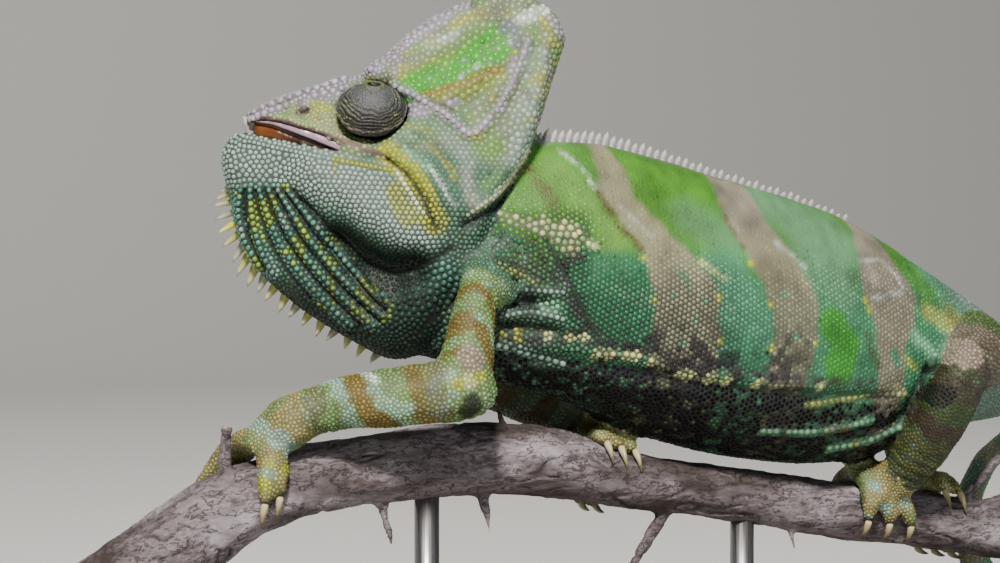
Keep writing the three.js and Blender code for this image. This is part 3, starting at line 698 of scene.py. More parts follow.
TRUNK_MARKS = [
    ("rust", [(3.5, 23), (7, 17)], 1.3, 1.8, 0.9),
    ("rust", [(6, 15.5), (8.5, 14)], 1.0, 2.2, 0.45),
    ("mint_white", [(11.5, 27.5), (15.5, 22.5), (17, 19)], 0.4, 0.9, 0.5),
    ("rust", [(17.5, 18.5), (20, 12.5), (24.5, 7)], 0.8, 0.9, 0.9),
    ("rust", [(47, 15), (47.5, 11), (49.5, 7)], 0.8, 1.2, 0.75),
    ("rust", [(79, -12), (81.5, -19)], 0.8, 1.2, 0.7),
    ("white", [(21, 16), (27.5, 9.5)], 0.35, 1, 0.35),
    ("white", [(80.5, 3.5), (88, 3), (92, -3), (81.5, -4.5)], 0.45, 1, 0.55),
    ("cream", [(38.5, 4), (43.5, 0.5)], 0.8, 1, 0.85),
    ("white", [(58.5, 7.5), (65, 2.5)], 0.5, 1, 0.5),
    ("sea", [(86, -17), (87, -18.5)], 1.2, 1, 0.9),
    ("sea", [(33, 2), (35, -1)], 0.7, 1, 0.7),
    ("emerald", [(-8, 9.5), (-3, 8), (-6, 7)], 1.6, 1.6, 0.9),
    ("olive", [(-6, 3.5), (1, 1)], 1.0, 1.6, 0.5),
    ("cream", SHOULDER_ROW, 1.1, 0.8, 0.95),
    ("cream", [(4.5, 12), (9.5, 6.5)], 1.5, 0.9, 0.9),
    ("cream", [(8, 11.5), (11.5, 10)], 1.4, 0.9, 0.8),
    ("plum", [(10.5, 5.5), (6.5, 1.5), (9, -4.5), (14, -11)], 1.4, 1.6, 0.8),
    ("lilac", [(7, 2), (8.5, -0.5), (7, -2)], 0.5, 0.8, 0.6),
    # Painted shade in the two armpit hollows.
    ("night", [(-5.5, -3), (3.5, -4.5)], 1.5, 1.2, 0.9),
    ("night", [(-5, -9), (3, -9.5), (11.5, -11)], 1.1, 1.2, 0.9),
    ("aqua", ARMPIT_ROW, 0.45, 0.6, 0.8),
    ("aqua", ARMPIT_ROW_LOW, 0.6, 0.7, 0.85),
    ("mint", [(3.5, -4.5), (5.5, -5.5)], 1.1, 1.2, 0.8),
    ("plum", [(-4, -12), (20, -13), (50, -20), (80, -22.5)], 1.1, 1.6, 0.9),
    # Near black under the belly, partly its own colour and partly painted shade; then painted shade in the
    # groin hollow.
    ("night", [(-10, -20), (55, -31.5), (84, -35), (106, -34)], 7.6, 1.6, 1),
    ("night", [(97.5, -20), (91, -30)], 2.2, 1.6, 0.95),
    ("mint", BELLY_FOLD, 0.8, 0.8, 0.85),
    ("tan", [(69.5, -33), (76, -32.5)], 0.75, 0.8, 0.8),
    ("mint", GROIN_FOLD, 1.0, 0.8, 0.9),
    ("olive", [(79, -36.5), (80, -36.5)], 0.8, 0.6, 0.8),
    ("aqua", BRISKET, 0.8, 0.7, 0.95),
    ("cream", [(86.5, -24), (89.5, -25.5)], 0.9, 0.7, 0.9),
    ("cream_green", LOW_ROW[:2], 0.6, 0.7, 0.85),
    ("cream_green", [(89.5, -18), (92, -20)], 1.0, 0.8, 0.9),
    ("crest", [(5, 30), (23, 30), (47, 24), (72, 18), (92, 9)], 1.3, 1.8, 0.85),
]
# Single scales of one colour: yellow ones on the edges of the bars, and cream ones along the flank's row.
EDGE_DOTS = [
    (0, "ahead", (5, -4)), (0, "behind", (-3.5, -12.5)), (1, "ahead", (3.5, -5, -14.5)),
    (1, "behind", (-13.5,)), (2, "ahead", (-5, -7)),
]
ROW_DOTS = (0, 0.05, 0.11, 0.15, 0.22, 0.36, 0.4, 0.49, 0.56, 0.7, 1)


def edge_dots():
    for bar, edge, heights in EDGE_DOTS:
        for z in heights:
            ahead, behind = bar_edges(BARS[bar][0], z)
            yield (ahead if edge == "ahead" else behind), z


DOTS = {
    "yellow": [*edge_dots(), (-4.5, -11), (-1.5, -10), (-1.5, -11.5)],
    "cream": [*resampled(curve(FLANK_ROW), 101)[[round(100 * share) for share in ROW_DOTS]],
              (4.5, -11), (9, -11.5), (12, -11.5)],
    "sea": [(31, -3), (36, -8), (58, -3), (60, -12), (33, -13), (38, -4)],
}
# Marks on the head, in its own frame.
HEAD_GROUND = [
    ("casque", [(-14, 46), (-4, 50), (2, 36)], 12, 6, 1),
    ("mist", [(7, 46), (3.5, 26.5)], 2.6, 2.2, 0.9),
    ("leaf_pale", [(-12, 47), (-1, 52.5)], 2.6, 3, 0.5),
    ("mint_white", [(-16, 49), (-9.5, 52)], 0.8, 2, 0.45),
    ("snout", [(-54, 34.5), (-46, 35.5), (-30, 30)], 3.4, 2.4, 0.95),
    ("cheek", [(-52, 27), (-30, 19.5), (-18, 12)], 5.4, 5, 1),
    ("sage", [(-20, 31), (-9, 33)], 2.4, 2.4, 0.6),
    ("throat_teal", [(-24, -8), (-12, 0)], 4, 3, 0.8),
]
HEAD_MARKS = [
    ("olive", [(-10.5, 53), (-3, 56)], 0.9, 1.6, 0.9),
    ("tan_dark", [(-4.5, 55.5), (0, 56.5)], 0.9, 1.6, 0.75),
    ("olive", [(-20, 43), (-10, 47)], 1.0, 1.8, 0.75),
    ("casque_green", [(-18, 40), (-8, 44.5), (-1, 49.5)], 3.5, 2.4, 1),
    ("mint_white", [(-8.5, 42.5)], 0.6, 0.6, 0.8),
    ("mint_white", [(-5, 44.5)], 0.6, 0.6, 0.8),
    ("olive", beside(CASQUE_SEAM, -1.4), 1.3, 2.2, 0.6),
    ("orange", CASQUE_SEAM, 0.8, 0.8, 0.9),
    ("lilac", [(-11, 37), (-9, 37.5)], 0.7, 0.5, 0.95),
    ("lilac", beside(CASQUE_EDGE, -0.5), 1.4, 1.6, 0.9),
    ("lilac", SIDE_CREST, 0.8, 0.9, 0.95),
    ("sulphur", [(-6, 30), (-4, 30.5)], 0.7, 0.8, 0.7),
    ("lilac", SIDE_CREST_REAR, 0.5, 0.7, 0.85),
    ("lilac", [(-19.5, 35.5), (-16, 35.5)], 1.5, 1, 1),
    ("slate", [(0.5, 52.5), (2, 53.5), (3, 49.5)], 1.3, 1.1, 0.85),
    ("mint_white", [(1.5, 49.5), (2, 50.5)], 0.4, 0.5, 0.8),
    ("mint_white", [(4, 54.5), (9, 56.5)], 1.3, 1.4, 0.8),
    ("sulphur", [(8, 55), (10.5, 51)], 0.7, 1.2, 0.65),
    ("lilac", [(10.5, 54.5), (12.5, 52)], 1.0, 1.2, 0.8),
    ("leaf_pale", [(-5, 27.5), (-1, 27), (-2, 29.5)], 1.4, 1.8, 0.75),
    ("mist", [(-10.5, 29.5), (-7, 25.5)], 1.8, 2, 0.7),
    ("pink", [(-7.5, 23), (-6.5, 17)], 1.4, 2.0, 0.5),
    ("leaf_pale", [(-3.5, 20), (-1, 22)], 1.2, 1.4, 0.6),
    ("bone", NAPE_EDGE, 0.6, 0.6, 0.9),
    ("sulphur", beside(MOUTH_FOLD, 1.2), 2.5, 1.2, 0.95),
    ("sulphur", [(-34, 25.5), (-21.5, 23)], 0.7, 0.8, 0.85),
    ("sulphur", [(-34.5, 25), (-34, 22.5)], 0.5, 0.5, 0.8),
    ("sulphur", [(-22, 19), (-19.5, 13.5)], 2.0, 1.6, 0.8),
    ("sulphur", [(-17.5, 15.5), (-17, 12.5)], 0.9, 1, 0.6),
    ("mint_white", [(-15, 24.5), (-12, 19.5), (-9.5, 16)], 0.4, 0.45, 1),
    ("mint", [(-20, 28), (-15, 23.5)], 0.7, 0.9, 0.85),
    ("olive", [(-15, 28.5), (-11, 24), (-10, 21)], 0.5, 0.7, 0.85),
    ("olive", [(-20, 32.5), (-14.5, 31)], 0.4, 0.8, 0.6),
    ("bone", [(-21.5, 23), (-16, 14)], 0.35, 0.5, 0.8),
    ("leaf_pale", [(-47.5, 35.5), (-44, 35)], 0.9, 1, 0.8),
    ("sulphur", [(-38.5, 36.5), (-35.5, 35.5)], 0.9, 0.9, 0.75),
    ("lilac", CANTHUS, 1.1, 0.8, 0.95),
    ("lilac", UNDER_CANTHUS, 0.8, 0.8, 0.85),
    ("lilac", BROW_ROW, 1.2, 0.8, 0.85),
    ("pink", [(-58, 35), (-55.5, 37)], 1.6, 1, 0.8),
    ("lip", [(-50.5, 34), *beside(UPPER_LIP[2:], 0.3)], 0.35, 0.3, 0.95),
]
# Bands across a limb: colour, share along it, half width as a share, change of the share with height in
# millimetres, strength.
LIMB_BANDS = {
    "upper_arm": [
        ("throat", 0.05, 0.24, -0.02, 0.9), ("ochre", 0.58, 0.05, -0.05, 0.9),
        ("ochre", 0.82, 0.06, -0.04, 0.9), ("ochre", 1.0, 0.03, -0.04, 0.8),
    ],
    "forearm": [
        ("brown", 0.31, 0.055, 0, 0.6), ("ochre", 0.41, 0.045, 0.002, 0.85), ("aqua", 0.58, 0.03, 0.014, 0.6),
        ("ochre", 0.675, 0.07, 0.014, 0.95), ("aqua", 0.79, 0.035, 0.011, 0.7), ("brown", 0.95, 0.04, 0, 0.5),
    ],
    "thigh": [("knee", 0.8, 0.3, 0, 0.85), ("leaf", 0.3, 0.2, 0, 0.5)],
    "shank": [
        ("knee", 0.0, 0.14, 0, 0.9), ("brown", 0.28, 0.07, 0, 0.7), ("leaf", 0.42, 0.07, 0, 0.8),
        # The three thin cream-green bands near the ankle are painted highlights on the edges of its skin
        # folds.
        ("brown", 0.56, 0.06, 0, 0.85), ("cream_green", 0.68, 0.02, 0, 0.9),
        ("cream_green", 0.77, 0.02, 0, 0.9), ("cream_green", 0.86, 0.02, 0, 0.8),
    ],
}
# Spots on the left feet, elbow and knee: colour, place x, z and radius; the near-black ones under the elbow
# and the knee are painted shade.
LIMB_SPOTS = [
    ("aqua", (-53, -30.5), 2.2), ("aqua", (-50.5, -33), 1.9), ("aqua", (-55.5, -28), 1.5),
    ("aqua", (-56, -37.5), 1.5),
    ("sulphur", (-57, -39.5), 1.5), ("sulphur", (-52.5, -37), 1.2), ("sulphur", (-55.5, -35.5), 1.0),
    ("mint_white", (-36, -18.5), 1.0), ("knee", (-18, -14.5), 3), ("sulphur", (-21.5, -19.5), 1.5),
    ("cream", (-19, -19), 1.6), ("sulphur", (-17, -18), 1.5), ("night", (-18.5, -24), 2.6),
    ("aqua", (86.5, -46), 1.3), ("aqua", (93.5, -50), 1.5), ("aqua", (88.5, -51), 1.6),
    ("aqua", (84.5, -54), 1.6),
    ("aqua", (92.5, -55.5), 2), ("knee", (99.5, -16), 4), ("night", (94, -25.5), 2.4),
]
TAIL_EYE = (151.0, 21.0, -57.0)


def plain(code, count):
    """The same colour for each of many places."""
    return np.tile(linear(code), (count, 1))


def mix(colours, code, amount):
    """Colours drawn towards one colour, by one share for all or one for each."""
    return colours + (np.array(linear(code)) - colours) * np.asarray(amount)[..., None]


def lay(colours, places, marks, whole=1.0):
    """Lays a table of marks over colours; each shows only where the marks are whole."""
    for code, path, width, soft, strength in marks:
        gap, _ = path_distance(places, path)
        colours = mix(colours, code, ramp(width + soft / 2 - gap, 0, soft) * strength * whole)
    return colours


def markings(points, parts, axes):
    """The colour of skin and scales at places in the animal's frame, each on a CAD part, with painted shade
    in creases, hollows, under the belly and head and on limbs in shadow, and painted highlights near the
    ankle.
    """
    head = to_head(points)
    flat = points[:, [0, 2]]
    lumps, fine = noise(points, 6, 11), noise(points, 2.2, 12)
    x, _, z = points.T
    wander = np.stack([noise(points, 4, 21), noise(points, 4, 22)], axis=1) * 0.8
    wander += np.stack([noise(points, 1.6, 23), noise(points, 1.6, 24)], axis=1) * 0.5
    # Trunk: bright green above, blue-green below.
    colour = plain("leaf", len(points))
    colour = mix(colour, "sea", ramp(-z + lumps * 4, -11, 6) * 0.9)
    colour = mix(colour, "emerald", ramp(fine + lumps * 0.5, 0.2, 1) * ramp(-z, -16, 4) * 0.6)
    colour = mix(colour, "rump", ramp(x + lumps * 4, 98, 120) * 0.7)
    colour = lay(colour, flat + wander, TRUNK_GROUND)
    colour = mix(colour, "plum", ramp(9 - x, 0, 8) * ramp(9 - z, 0, 5) * 0.55)
    for stations, shades in BARS:
        u, v = (flat + wander * 0.9).T
        ahead, behind = bar_edges(stations, v)
        inside = ramp(np.minimum(u - ahead, behind - u), -0.7, 0.9)
        tone = [np.array(linear(code)) for code in shades]
        low, deep = ramp(-v, -14, 0)[:, None], ramp(-v, 0, 12)[:, None]
        tone = tone[0] + (tone[1] - tone[0]) * low + (tone[2] - tone[1]) * deep * 0.6
        tone = tone * (1 + 0.16 * lumps[:, None] + 0.1 * fine[:, None])
        colour += (tone - colour) * (inside * 0.88)[:, None]
    whole = 0.35 + 0.65 * ramp(noise(points, 1.3, 47), -0.5, 0.1)
    colour = lay(colour, flat + wander * 0.45, TRUNK_MARKS, whole)
    net = ramp(-z + lumps * 5, 6, 14) * ramp(x + lumps * 6, 8, 18) * ramp(70 - x, 0, 16)
    colour = mix(colour, "#17151f", net * ramp(noise(points, 1.7, 48) + lumps * 0.4, -0.15, 0.25) * 0.85)
    colour *= (0.84 + 0.2 * noise(points * (1, 1, 0.6), 2.2, 49) + 0.18 * lumps)[:, None]
    # Painted shade: the underside of the belly up to 0.4 darker.
    colour *= 1 - 0.4 * (ramp(-z, 20, 25) * ramp(106 - x, 0, 8))[:, None]
    torn = ramp(noise(points, 1.5, 46), -0.05, 0.1)
    low = ramp(14 - z, 0, 4) * ramp(16 - x, 0, 3) * ramp(z, 5, 7)
    colour = mix(colour, "emerald", low * (1 - torn) * 0.55)
    for code, dots in DOTS.items():
        gap = np.min([np.hypot(*(flat + wander * 0.3 - dot).T) for dot in dots], axis=0)
        colour = mix(colour, code, ramp((1.5 if code == "cream" else 1.1) - gap, 0, 0.7) * 0.8)
    # Painted shade in the trunk's creases.
    colour = mix(colour, "night", painted_crease_shade(flat, TRUNK_CREASES) * 0.85)
    # Tail: rings of tan and green.
    for index, name in enumerate(FLESH):
        here = parts == index
        if not name.startswith("tail") or not here.any():
            continue
        place = points[here]
        turn = (place - axes[name][0]) @ axes[name][1] / 9
        if name != "tail_1":
            turn = np.arctan2(place[:, 2] - TAIL_EYE[2], place[:, 0] - TAIL_EYE[0]) * 11 / math.pi
        ring = ramp(np.sin(turn * math.pi + lumps[here] * 0.8), 0.1, 0.6)
        tone = mix(colour[here], "sage", 0.5)
        tone = mix(tone, "leaf", ramp(lumps[here], 0, 0.8) * 0.6)
        colour[here] = mix(tone, "tan", ring * 0.8)
    # Head.
    on_head = belongs(parts, HEAD_PARTS)
    place, drift = head[on_head], wander[on_head]
    plane, swell = place[:, [0, 2]], lumps[on_head]
    tone = plain("throat", len(place))
    tone = mix(tone, "chin", ramp(plane[:, 1] - plane[:, 0] * 0.35, 36, 44) * 0.85)
    tone = mix(tone, "casque", ramp(plane[:, 1] + swell * 2, 24, 31))
    tone = lay(tone, plane + drift, HEAD_GROUND)
    crown, blotch = ramp(plane[:, 1], 30, 36), noise(place, 2.4, 31)
    tone = mix(tone, "lilac", crown * ramp(blotch, 0.3, 0.65) * 0.6)
    tone = mix(tone, "leaf_pale", crown * ramp(-blotch + swell * 0.4, 0.25, 0.7) * 0.6)
    tone = mix(tone, "tan_dark", crown * ramp(noise(place, 1.4, 35) + blotch * 0.4, 0.2, 0.7) * 0.65)
    tone = mix(tone, "olive", ramp(noise(place, 1.9, 32), 0.25, 0.6) * crown * 0.65)
    # Painted shade in the hollow of the pocket under the jaw.
    hollow = ramp(6.4 - path_distance(plane, POCKET)[0], 0, 4)
    tone = mix(tone, "pocket", hollow * 0.9)
    folded = ramp(2.0 - gap_to(plane, THROAT_RIDGES), 0, 0.8)
    hue = noise(place * (1, 1, 0.45), 3.2, 33) + noise(place, 1.3, 34) * 0.7
    tone = mix(tone, "throat_teal", folded * 0.7)
    tone = mix(tone, "lime", folded * ramp(hue, 0.05, 0.4) * 0.85)
    tone = mix(tone, "cheek", folded * ramp(-hue, 0.35, 0.7) * 0.6)
    # Painted shade: the head darker towards its bottom, less so on the throat's folds.
    tone = mix(tone, "pocket", ramp(6 - plane[:, 1], 0, 10) * (1 - 0.5 * folded) * 0.86)
    whole = (0.6 + 0.4 * ramp(noise(points, 1.1, 47), -0.55, 0.0))[on_head]
    tone = lay(tone, plane + drift * 0.3, HEAD_MARKS, whole)
    # Painted shade in the head's creases.
    dark = painted_crease_shade(plane, HEAD_CREASES)
    colour[on_head] = mix(tone, "night", dark * 0.9)
    # Limbs.
    for index, name in enumerate(FLESH):
        here = parts == index
        if not name.startswith(("left_", "right_")) or not here.any():
            continue
        place, count = points[here], here.sum()
        start, along, length = axes[name]
        share = (place - start) @ along / length + noise(place, 3, 41) * 0.035 + noise(place, 1.2, 42) * 0.02
        height = (place - start - ((place - start) @ along)[:, None] * along)[:, 2]
        tone = plain("limb", count)
        tone = mix(tone, "aqua", ramp(fine[here] + lumps[here], 0.1, 0.9) * 0.55)
        tone = mix(tone, "leaf_pale", ramp(-fine[here] + lumps[here], 0.2, 0.9) * 0.5)
        segment = name.split("_", 2)[2]
        for code, at, width, slant, strength in LIMB_BANDS.get(segment, []):
            gap = np.abs(share - slant * height - at)
            tone = mix(tone, code, ramp(width + 0.012 - gap, 0, 0.024) * strength)
        if segment == "foot":
            tone = mix(tone, "hand", ramp(lumps[here] + 0.4, -0.2, 0.4) * 0.9)
            tone = mix(tone, "ochre", ramp(fine[here], 0.1, 0.6) * 0.5)
            if name.startswith("right"):
                tone = mix(tone, "cream", ramp(noise(place, 4, 44), -0.1, 0.5) * 0.7)
        # Hind thigh and shank browner, and darker with painted shade: the thigh to 0.6, the shank to 0.28.
        if "hind" in name and segment != "foot":
            tone = mix(tone, "brown", 0.3) * (0.28 if segment == "shank" else 0.6)
        tone *= (1 + 0.25 * noise(place, 1.6, 50) + 0.15 * lumps[here])[:, None]
        # Painted shade: the far fore limb, apart from its foot, drawn 0.6 towards near black.
        if name.startswith("right_fore") and segment != "foot":
            tone = mix(tone, "night", 0.6)
        for code, spot, radius in LIMB_SPOTS if name.startswith("left") else ():
            gap = np.linalg.norm(place[:, [0, 2]] + noise(place, 2, 45)[:, None] * 0.5 - spot, axis=1)
            tone = mix(tone, code, ramp(radius + 0.3 - gap, 0, 0.7) * 0.85)
        colour[here] = tone
    return np.clip(colour, 0, 1)


# Painted shade along creases, from 0 to 1, by how near and how deep each crease is.
def painted_crease_shade(places, creases):
    return np.max([np.exp(-(path_distance(places, path)[0] / (width * 1.1)) ** 2) * min(1, depth * 1.3)
                   for path, width, depth in creases], axis=0)


def painted_seam_shade(points, parts):
    """Painted shade in the soft skin and down the scales' sides between the scales, from 0 to 1: strongest
    low on the trunk and on the face, at the front of the shoulder and round the head's large rows, weaker
    towards the rear of the trunk; it also sets how high the scales stand.
    """
    x, _, z = points.T
    head = to_head(points)[:, [0, 2]]
    trunk = 0.12 + 0.75 * ramp(7 - z + noise(points, 9, 8) * 3, 0, 12)
    trunk *= 1 - 0.5 * ramp(x, 34, 56)
    trunk = np.maximum(trunk, 0.95 * ramp(17 - x, 0, 6) * ramp(17 - z, 0, 4))
    on_head = belongs(parts, HEAD_PARTS)
    rise = head[:, 1] + 0.35 * head[:, 0]
    face = 0.5 + 0.45 * ramp(17 - rise, 0, 6)
    face = np.maximum(face, 0.5 * ramp(-head[:, 0], 18, 24))
    face = np.maximum(face, 0.7 * ramp(1.6 - gap_to(head, [row for row, _ in HEAD_ROWS[:3]]), 0, 0.8))
    face = np.maximum(face, 0.45 * ramp(1.6 - gap_to(head, [row for row, _ in HEAD_ROWS[3:5]]), 0, 0.8))
    limb = np.array([name.startswith(("left_", "right_")) for name in FLESH])[parts]
    return np.where(on_head, face, np.where(limb, 0.62, trunk))


# ---------------------------------------------------------------- scales

# Distance between the scales of each part, and near some paths of the head and trunk.
SCALE_SIZE = {
    "head": 1.12, "casque": 1.5, "throat": 1.12, "neck": 1.2, "chest": 1.12, "belly": 1.12, "pelvis": 1.12,
    "tail": 1.2, "upper_arm": 1.0, "forearm": 1.02, "thigh": 1.1, "shank": 1.05, "foot": 0.88,
}
HEAD_SIZES = [
    ([(-54, 34.5), (-46, 35.5), (-32, 31)], 2.8, 0.95),
    ([(-22, 46), (-8, 55.5)], 2.6, 1.3),
    ([(-30, -8), (-12, 0)], 4.2, 1.5),
]
TRUNK_SIZES = [(SHOULDER_ROW, 2.6, 1.6), ([(5, 10), (8, 7)], 2, 1.6)]
# Rows of larger scales that stand in line: path and distance between them.
HEAD_ROWS = [
    (CANTHUS, 2.0), (UNDER_CANTHUS, 1.8), (BROW_ROW, 1.7), (CASQUE_EDGE, 1.7), (SIDE_CREST, 1.45),
    (SIDE_CREST_REAR, 1.3), (NAPE_EDGE, 1.15), (beside(LOWER_LIP[1:], -1.6), 1.0),
    *[(ridge, 1.4) for ridge in THROAT_RIDGES],
]
TRUNK_ROWS = [
    (FLANK_ROW, 1.4), (LOW_ROW, 1.6), (BELLY_FOLD, 1.5), (GROIN_FOLD, 1.7), (BRISKET, 1.6),
    (ARMPIT_ROW, 1.2), (ARMPIT_ROW_LOW, 1.3),
]
# Even rows that the flanks and cheeks start from: parts, distance between scales, slant in degrees.
LATTICES = [(TRUNK_PARTS, 1.12, -38), (HEAD_PARTS, 1.12, -62)]
SPOKES = 6
HEX_ROW = 0.866  # distance of rows that are packed as closely as can be, against that of scales in a row
BODY_LENGTH = 190
ROW_CLEARANCE = 0.62  # how near other scales come to one that stands in line, as a share of its size


def scale_sizes(points, parts):
    size = np.empty(len(points))
    for index, name in enumerate(FLESH):
        key = "tail" if name.startswith("tail") else name
        key = key if key in SCALE_SIZE else key.split("_", 2)[2]
        size[parts == index] = 0.95 if name in ("tail_4", "tail_5") else SCALE_SIZE[key]
    for table, place, owners in (
        (HEAD_SIZES, to_head(points)[:, [0, 2]], HEAD_PARTS), (TRUNK_SIZES, points[:, [0, 2]], TRUNK_PARTS),
    ):
        mask = belongs(parts, owners)
        for path, width, value in table:
            gap, _ = path_distance(place, path)
            size += mask * ramp(width * 1.25 - gap, 0, width * 0.5) * (value - size)
    return size


def belongs(parts, owners):
    return np.isin(parts, [FLESH.index(name) for name in owners])


def from_the_side(body, flat, owners, turn=0.0):
    """Where lines that cross the body from side to side meet its skin: places, normals and index of line."""
    places, normals, lines = [], [], []
    way = turned(np.array([(0.0, 1.0, 0.0)]), turn)[0]
    for side in (-1, 1):
        start = turned(np.insert(flat, 1, side * 60.0, axis=1), turn)
        for index, point in enumerate(to_world(start)):
            hit = body.surface.ray_cast(Vector(point), Vector(-side * way))
            if hit[0]:
                places.append(hit[0])
                normals.append(hit[1])
                lines.append(index)
    places, normals, lines = (np.array(values) for values in (places, normals, lines))
    good = belongs(body.parts_at(places), owners)
    return to_animal(places[good]), normals[good], lines[good]


def lined_up(body):
    """The roots of the scales that stand in line, and the size of each."""
    roots, sizes = [], []
    for rows, owners, turn in ((HEAD_ROWS, HEAD_PARTS, HEAD_TURN), (TRUNK_ROWS, TRUNK_PARTS, 0.0)):
        for path, spacing in rows:
            path = curve(path)
            length = np.hypot(*np.diff(path, axis=0).T).sum()
            flat = resampled(path, int(round(length / spacing)) + 1)
            places, _, _ = from_the_side(body, flat, owners, turn)
            roots.append(places)
            sizes.append(np.full(len(places), spacing))
    return np.concatenate(roots), np.concatenate(sizes)


def lattice(body, owners, pitch, slant):
    """Roots in even slanting rows on both sides of the body."""
    angle = math.radians(slant)
    along = np.array((math.cos(angle), math.sin(angle)))
    across = np.array((-along[1], along[0]))
    reach = int(BODY_LENGTH / pitch)
    i, j = np.meshgrid(np.arange(-reach, reach), np.arange(-reach, reach))
    flat = (i + 0.5 * (j % 2)).reshape(-1, 1) * pitch * along + j.reshape(-1, 1) * HEX_ROW * pitch * across
    spots = body.points[belongs(body.part, owners)][:, [0, 2]]
    flat = flat[((flat > spots.min(0)) & (flat < spots.max(0))).all(1)]
    places, normals, _ = from_the_side(body, flat, owners)
    return places, normals


def scattered(mesh, sizes, seed, spread):
    """Roots spread over a mesh, closer where its scales are smaller."""
    dice = np.random.default_rng(seed)
    mesh.calc_loop_triangles()
    corners = np.empty(len(mesh.loop_triangles) * 3, np.int32)
    mesh.loop_triangles.foreach_get("vertices", corners)
    corners = corners.reshape(-1, 3)
    points = to_animal(mesh_points(mesh))
    a, b, c = (points[corners[:, k]] for k in range(3))
    area = np.linalg.norm(np.cross(b - a, c - a), axis=1) / 2
    wanted = area / (HEX_ROW * sizes[corners].mean(1) ** 2)
    total = int(wanted.sum() * spread)
    chosen = dice.choice(len(area), total, p=wanted / wanted.sum())
    u, v = dice.random((2, total))
    over = u + v > 1
    u[over], v[over] = 1 - u[over], 1 - v[over]
    return a[chosen] + (b - a)[chosen] * u[:, None] + (c - a)[chosen] * v[:, None]


def lookup_of(points):
    """A quick way to find the points that are nearest to a place."""
    lookup = kdtree.KDTree(len(points))
    for index, point in enumerate(points):
        lookup.insert(point, index)
    lookup.balance()
    return lookup


def neighbours(points, count):
    lookup = lookup_of(points)
    found = np.zeros((len(points), count), np.int64)
    for index, point in enumerate(points):
        near = [hit[1] for hit in lookup.find_n(point, count + 1) if hit[1] != index][:count]
        found[index, :len(near)] = near
        found[index, len(near):] = index
    return found


def on_surface(roots, surface):
    """The nearest place of the surface to each root, and its normal there."""
    world, normals = to_world(roots), np.zeros_like(roots)
    for index, point in enumerate(world):
        world[index], normals[index], _, _ = surface.find_nearest(point)
    return to_animal(world), normals


def eased(roots, sizes, held, surface, passes):
    """Pushes the roots apart over a surface until they sit evenly; the held ones stay."""
    for _ in range(passes):
        near = neighbours(roots, 7)
        gap = roots[:, None, :] - roots[near]
        length = np.maximum(np.linalg.norm(gap, axis=2), 1e-4)
        want = (sizes[:, None] + sizes[near]) / 2
        force = np.clip(1.1 - length / want, 0, 1)
        shift = (gap / length[..., None] * (force * want)[..., None]).sum(1)
        limit = np.linalg.norm(shift, axis=1, keepdims=True) / (0.4 * sizes[:, None])
        roots = roots + np.where(held, 0, 0.5)[:, None] * shift / np.maximum(limit, 1)
        roots, _ = on_surface(roots, surface)
    return on_surface(roots, surface)


def root_shapes(roots, normals, lie, sizes):
    """How far each scale reaches to its corners, and its lie, turned so that they fall between neighbours."""
    near = neighbours(roots, 9)
    side = np.cross(normals, lie)
    gap = roots[near] - roots[:, None, :]
    right, up = (gap * lie[:, None, :]).sum(2), (gap * side[:, None, :]).sum(2)
    length, angle = np.maximum(np.hypot(right, up), 1e-3), np.arctan2(up, right)
    nearness = np.exp(-1.2 * (length / sizes[:, None]) ** 2)
    part = 2 * math.pi / SPOKES
    phase = np.angle((nearness * np.exp(1j * SPOKES * angle)).sum(1)) / SPOKES + part
    phase = phase % part - part / 2
    weight = (sizes[:, None] ** 2 - sizes[near] ** 2) / 8
    border = np.maximum(length / 2 + weight / length, length * 0.2)
    reach = np.empty((len(roots), SPOKES))
    for k in range(SPOKES):
        facing = np.cos(angle - (phase + part * k)[:, None])
        reach[:, k] = np.where(facing > 0.15, border / np.maximum(facing, 0.15), 1e9).min(1)
    reach = np.minimum(reach, sizes[:, None] * 0.66)
    lie = lie * np.cos(phase)[:, None] + side * np.sin(phase)[:, None]
    return reach * 0.85 + reach.mean(1, keepdims=True) * 0.15, lie


def template(name, rings):
    """One scale as rings of spokes: reach from the root and lift, from the skin to its top."""
    points, spoke, flat, lift = [], [], [], []
    for reach, height in rings:
        for k in range(SPOKES):
            angle = 2 * math.pi * k / SPOKES
            points.append((math.cos(angle) * reach, math.sin(angle) * reach, height))
            spoke.append(k)
            flat.append((math.cos(angle) * reach, math.sin(angle) * reach))
            lift.append(height)
    points.append((0, 0, 1))
    spoke.append(0)
    flat.append((0, 0))
    lift.append(1)
    top, base = len(points) - 1, (len(rings) - 1) * SPOKES
    faces = ring_faces(len(rings), SPOKES)
    faces += [(base + k, base + (k + 1) % SPOKES, top) for k in range(SPOKES)]
    mesh = mesh_from(name, points, faces)
    store(mesh, "spoke", spoke)
    store(mesh, "flat_x", [f[0] for f in flat])
    store(mesh, "flat_y", [f[1] for f in flat])
    store(mesh, "lift", lift)
    return new_object(name, mesh, scene=False)


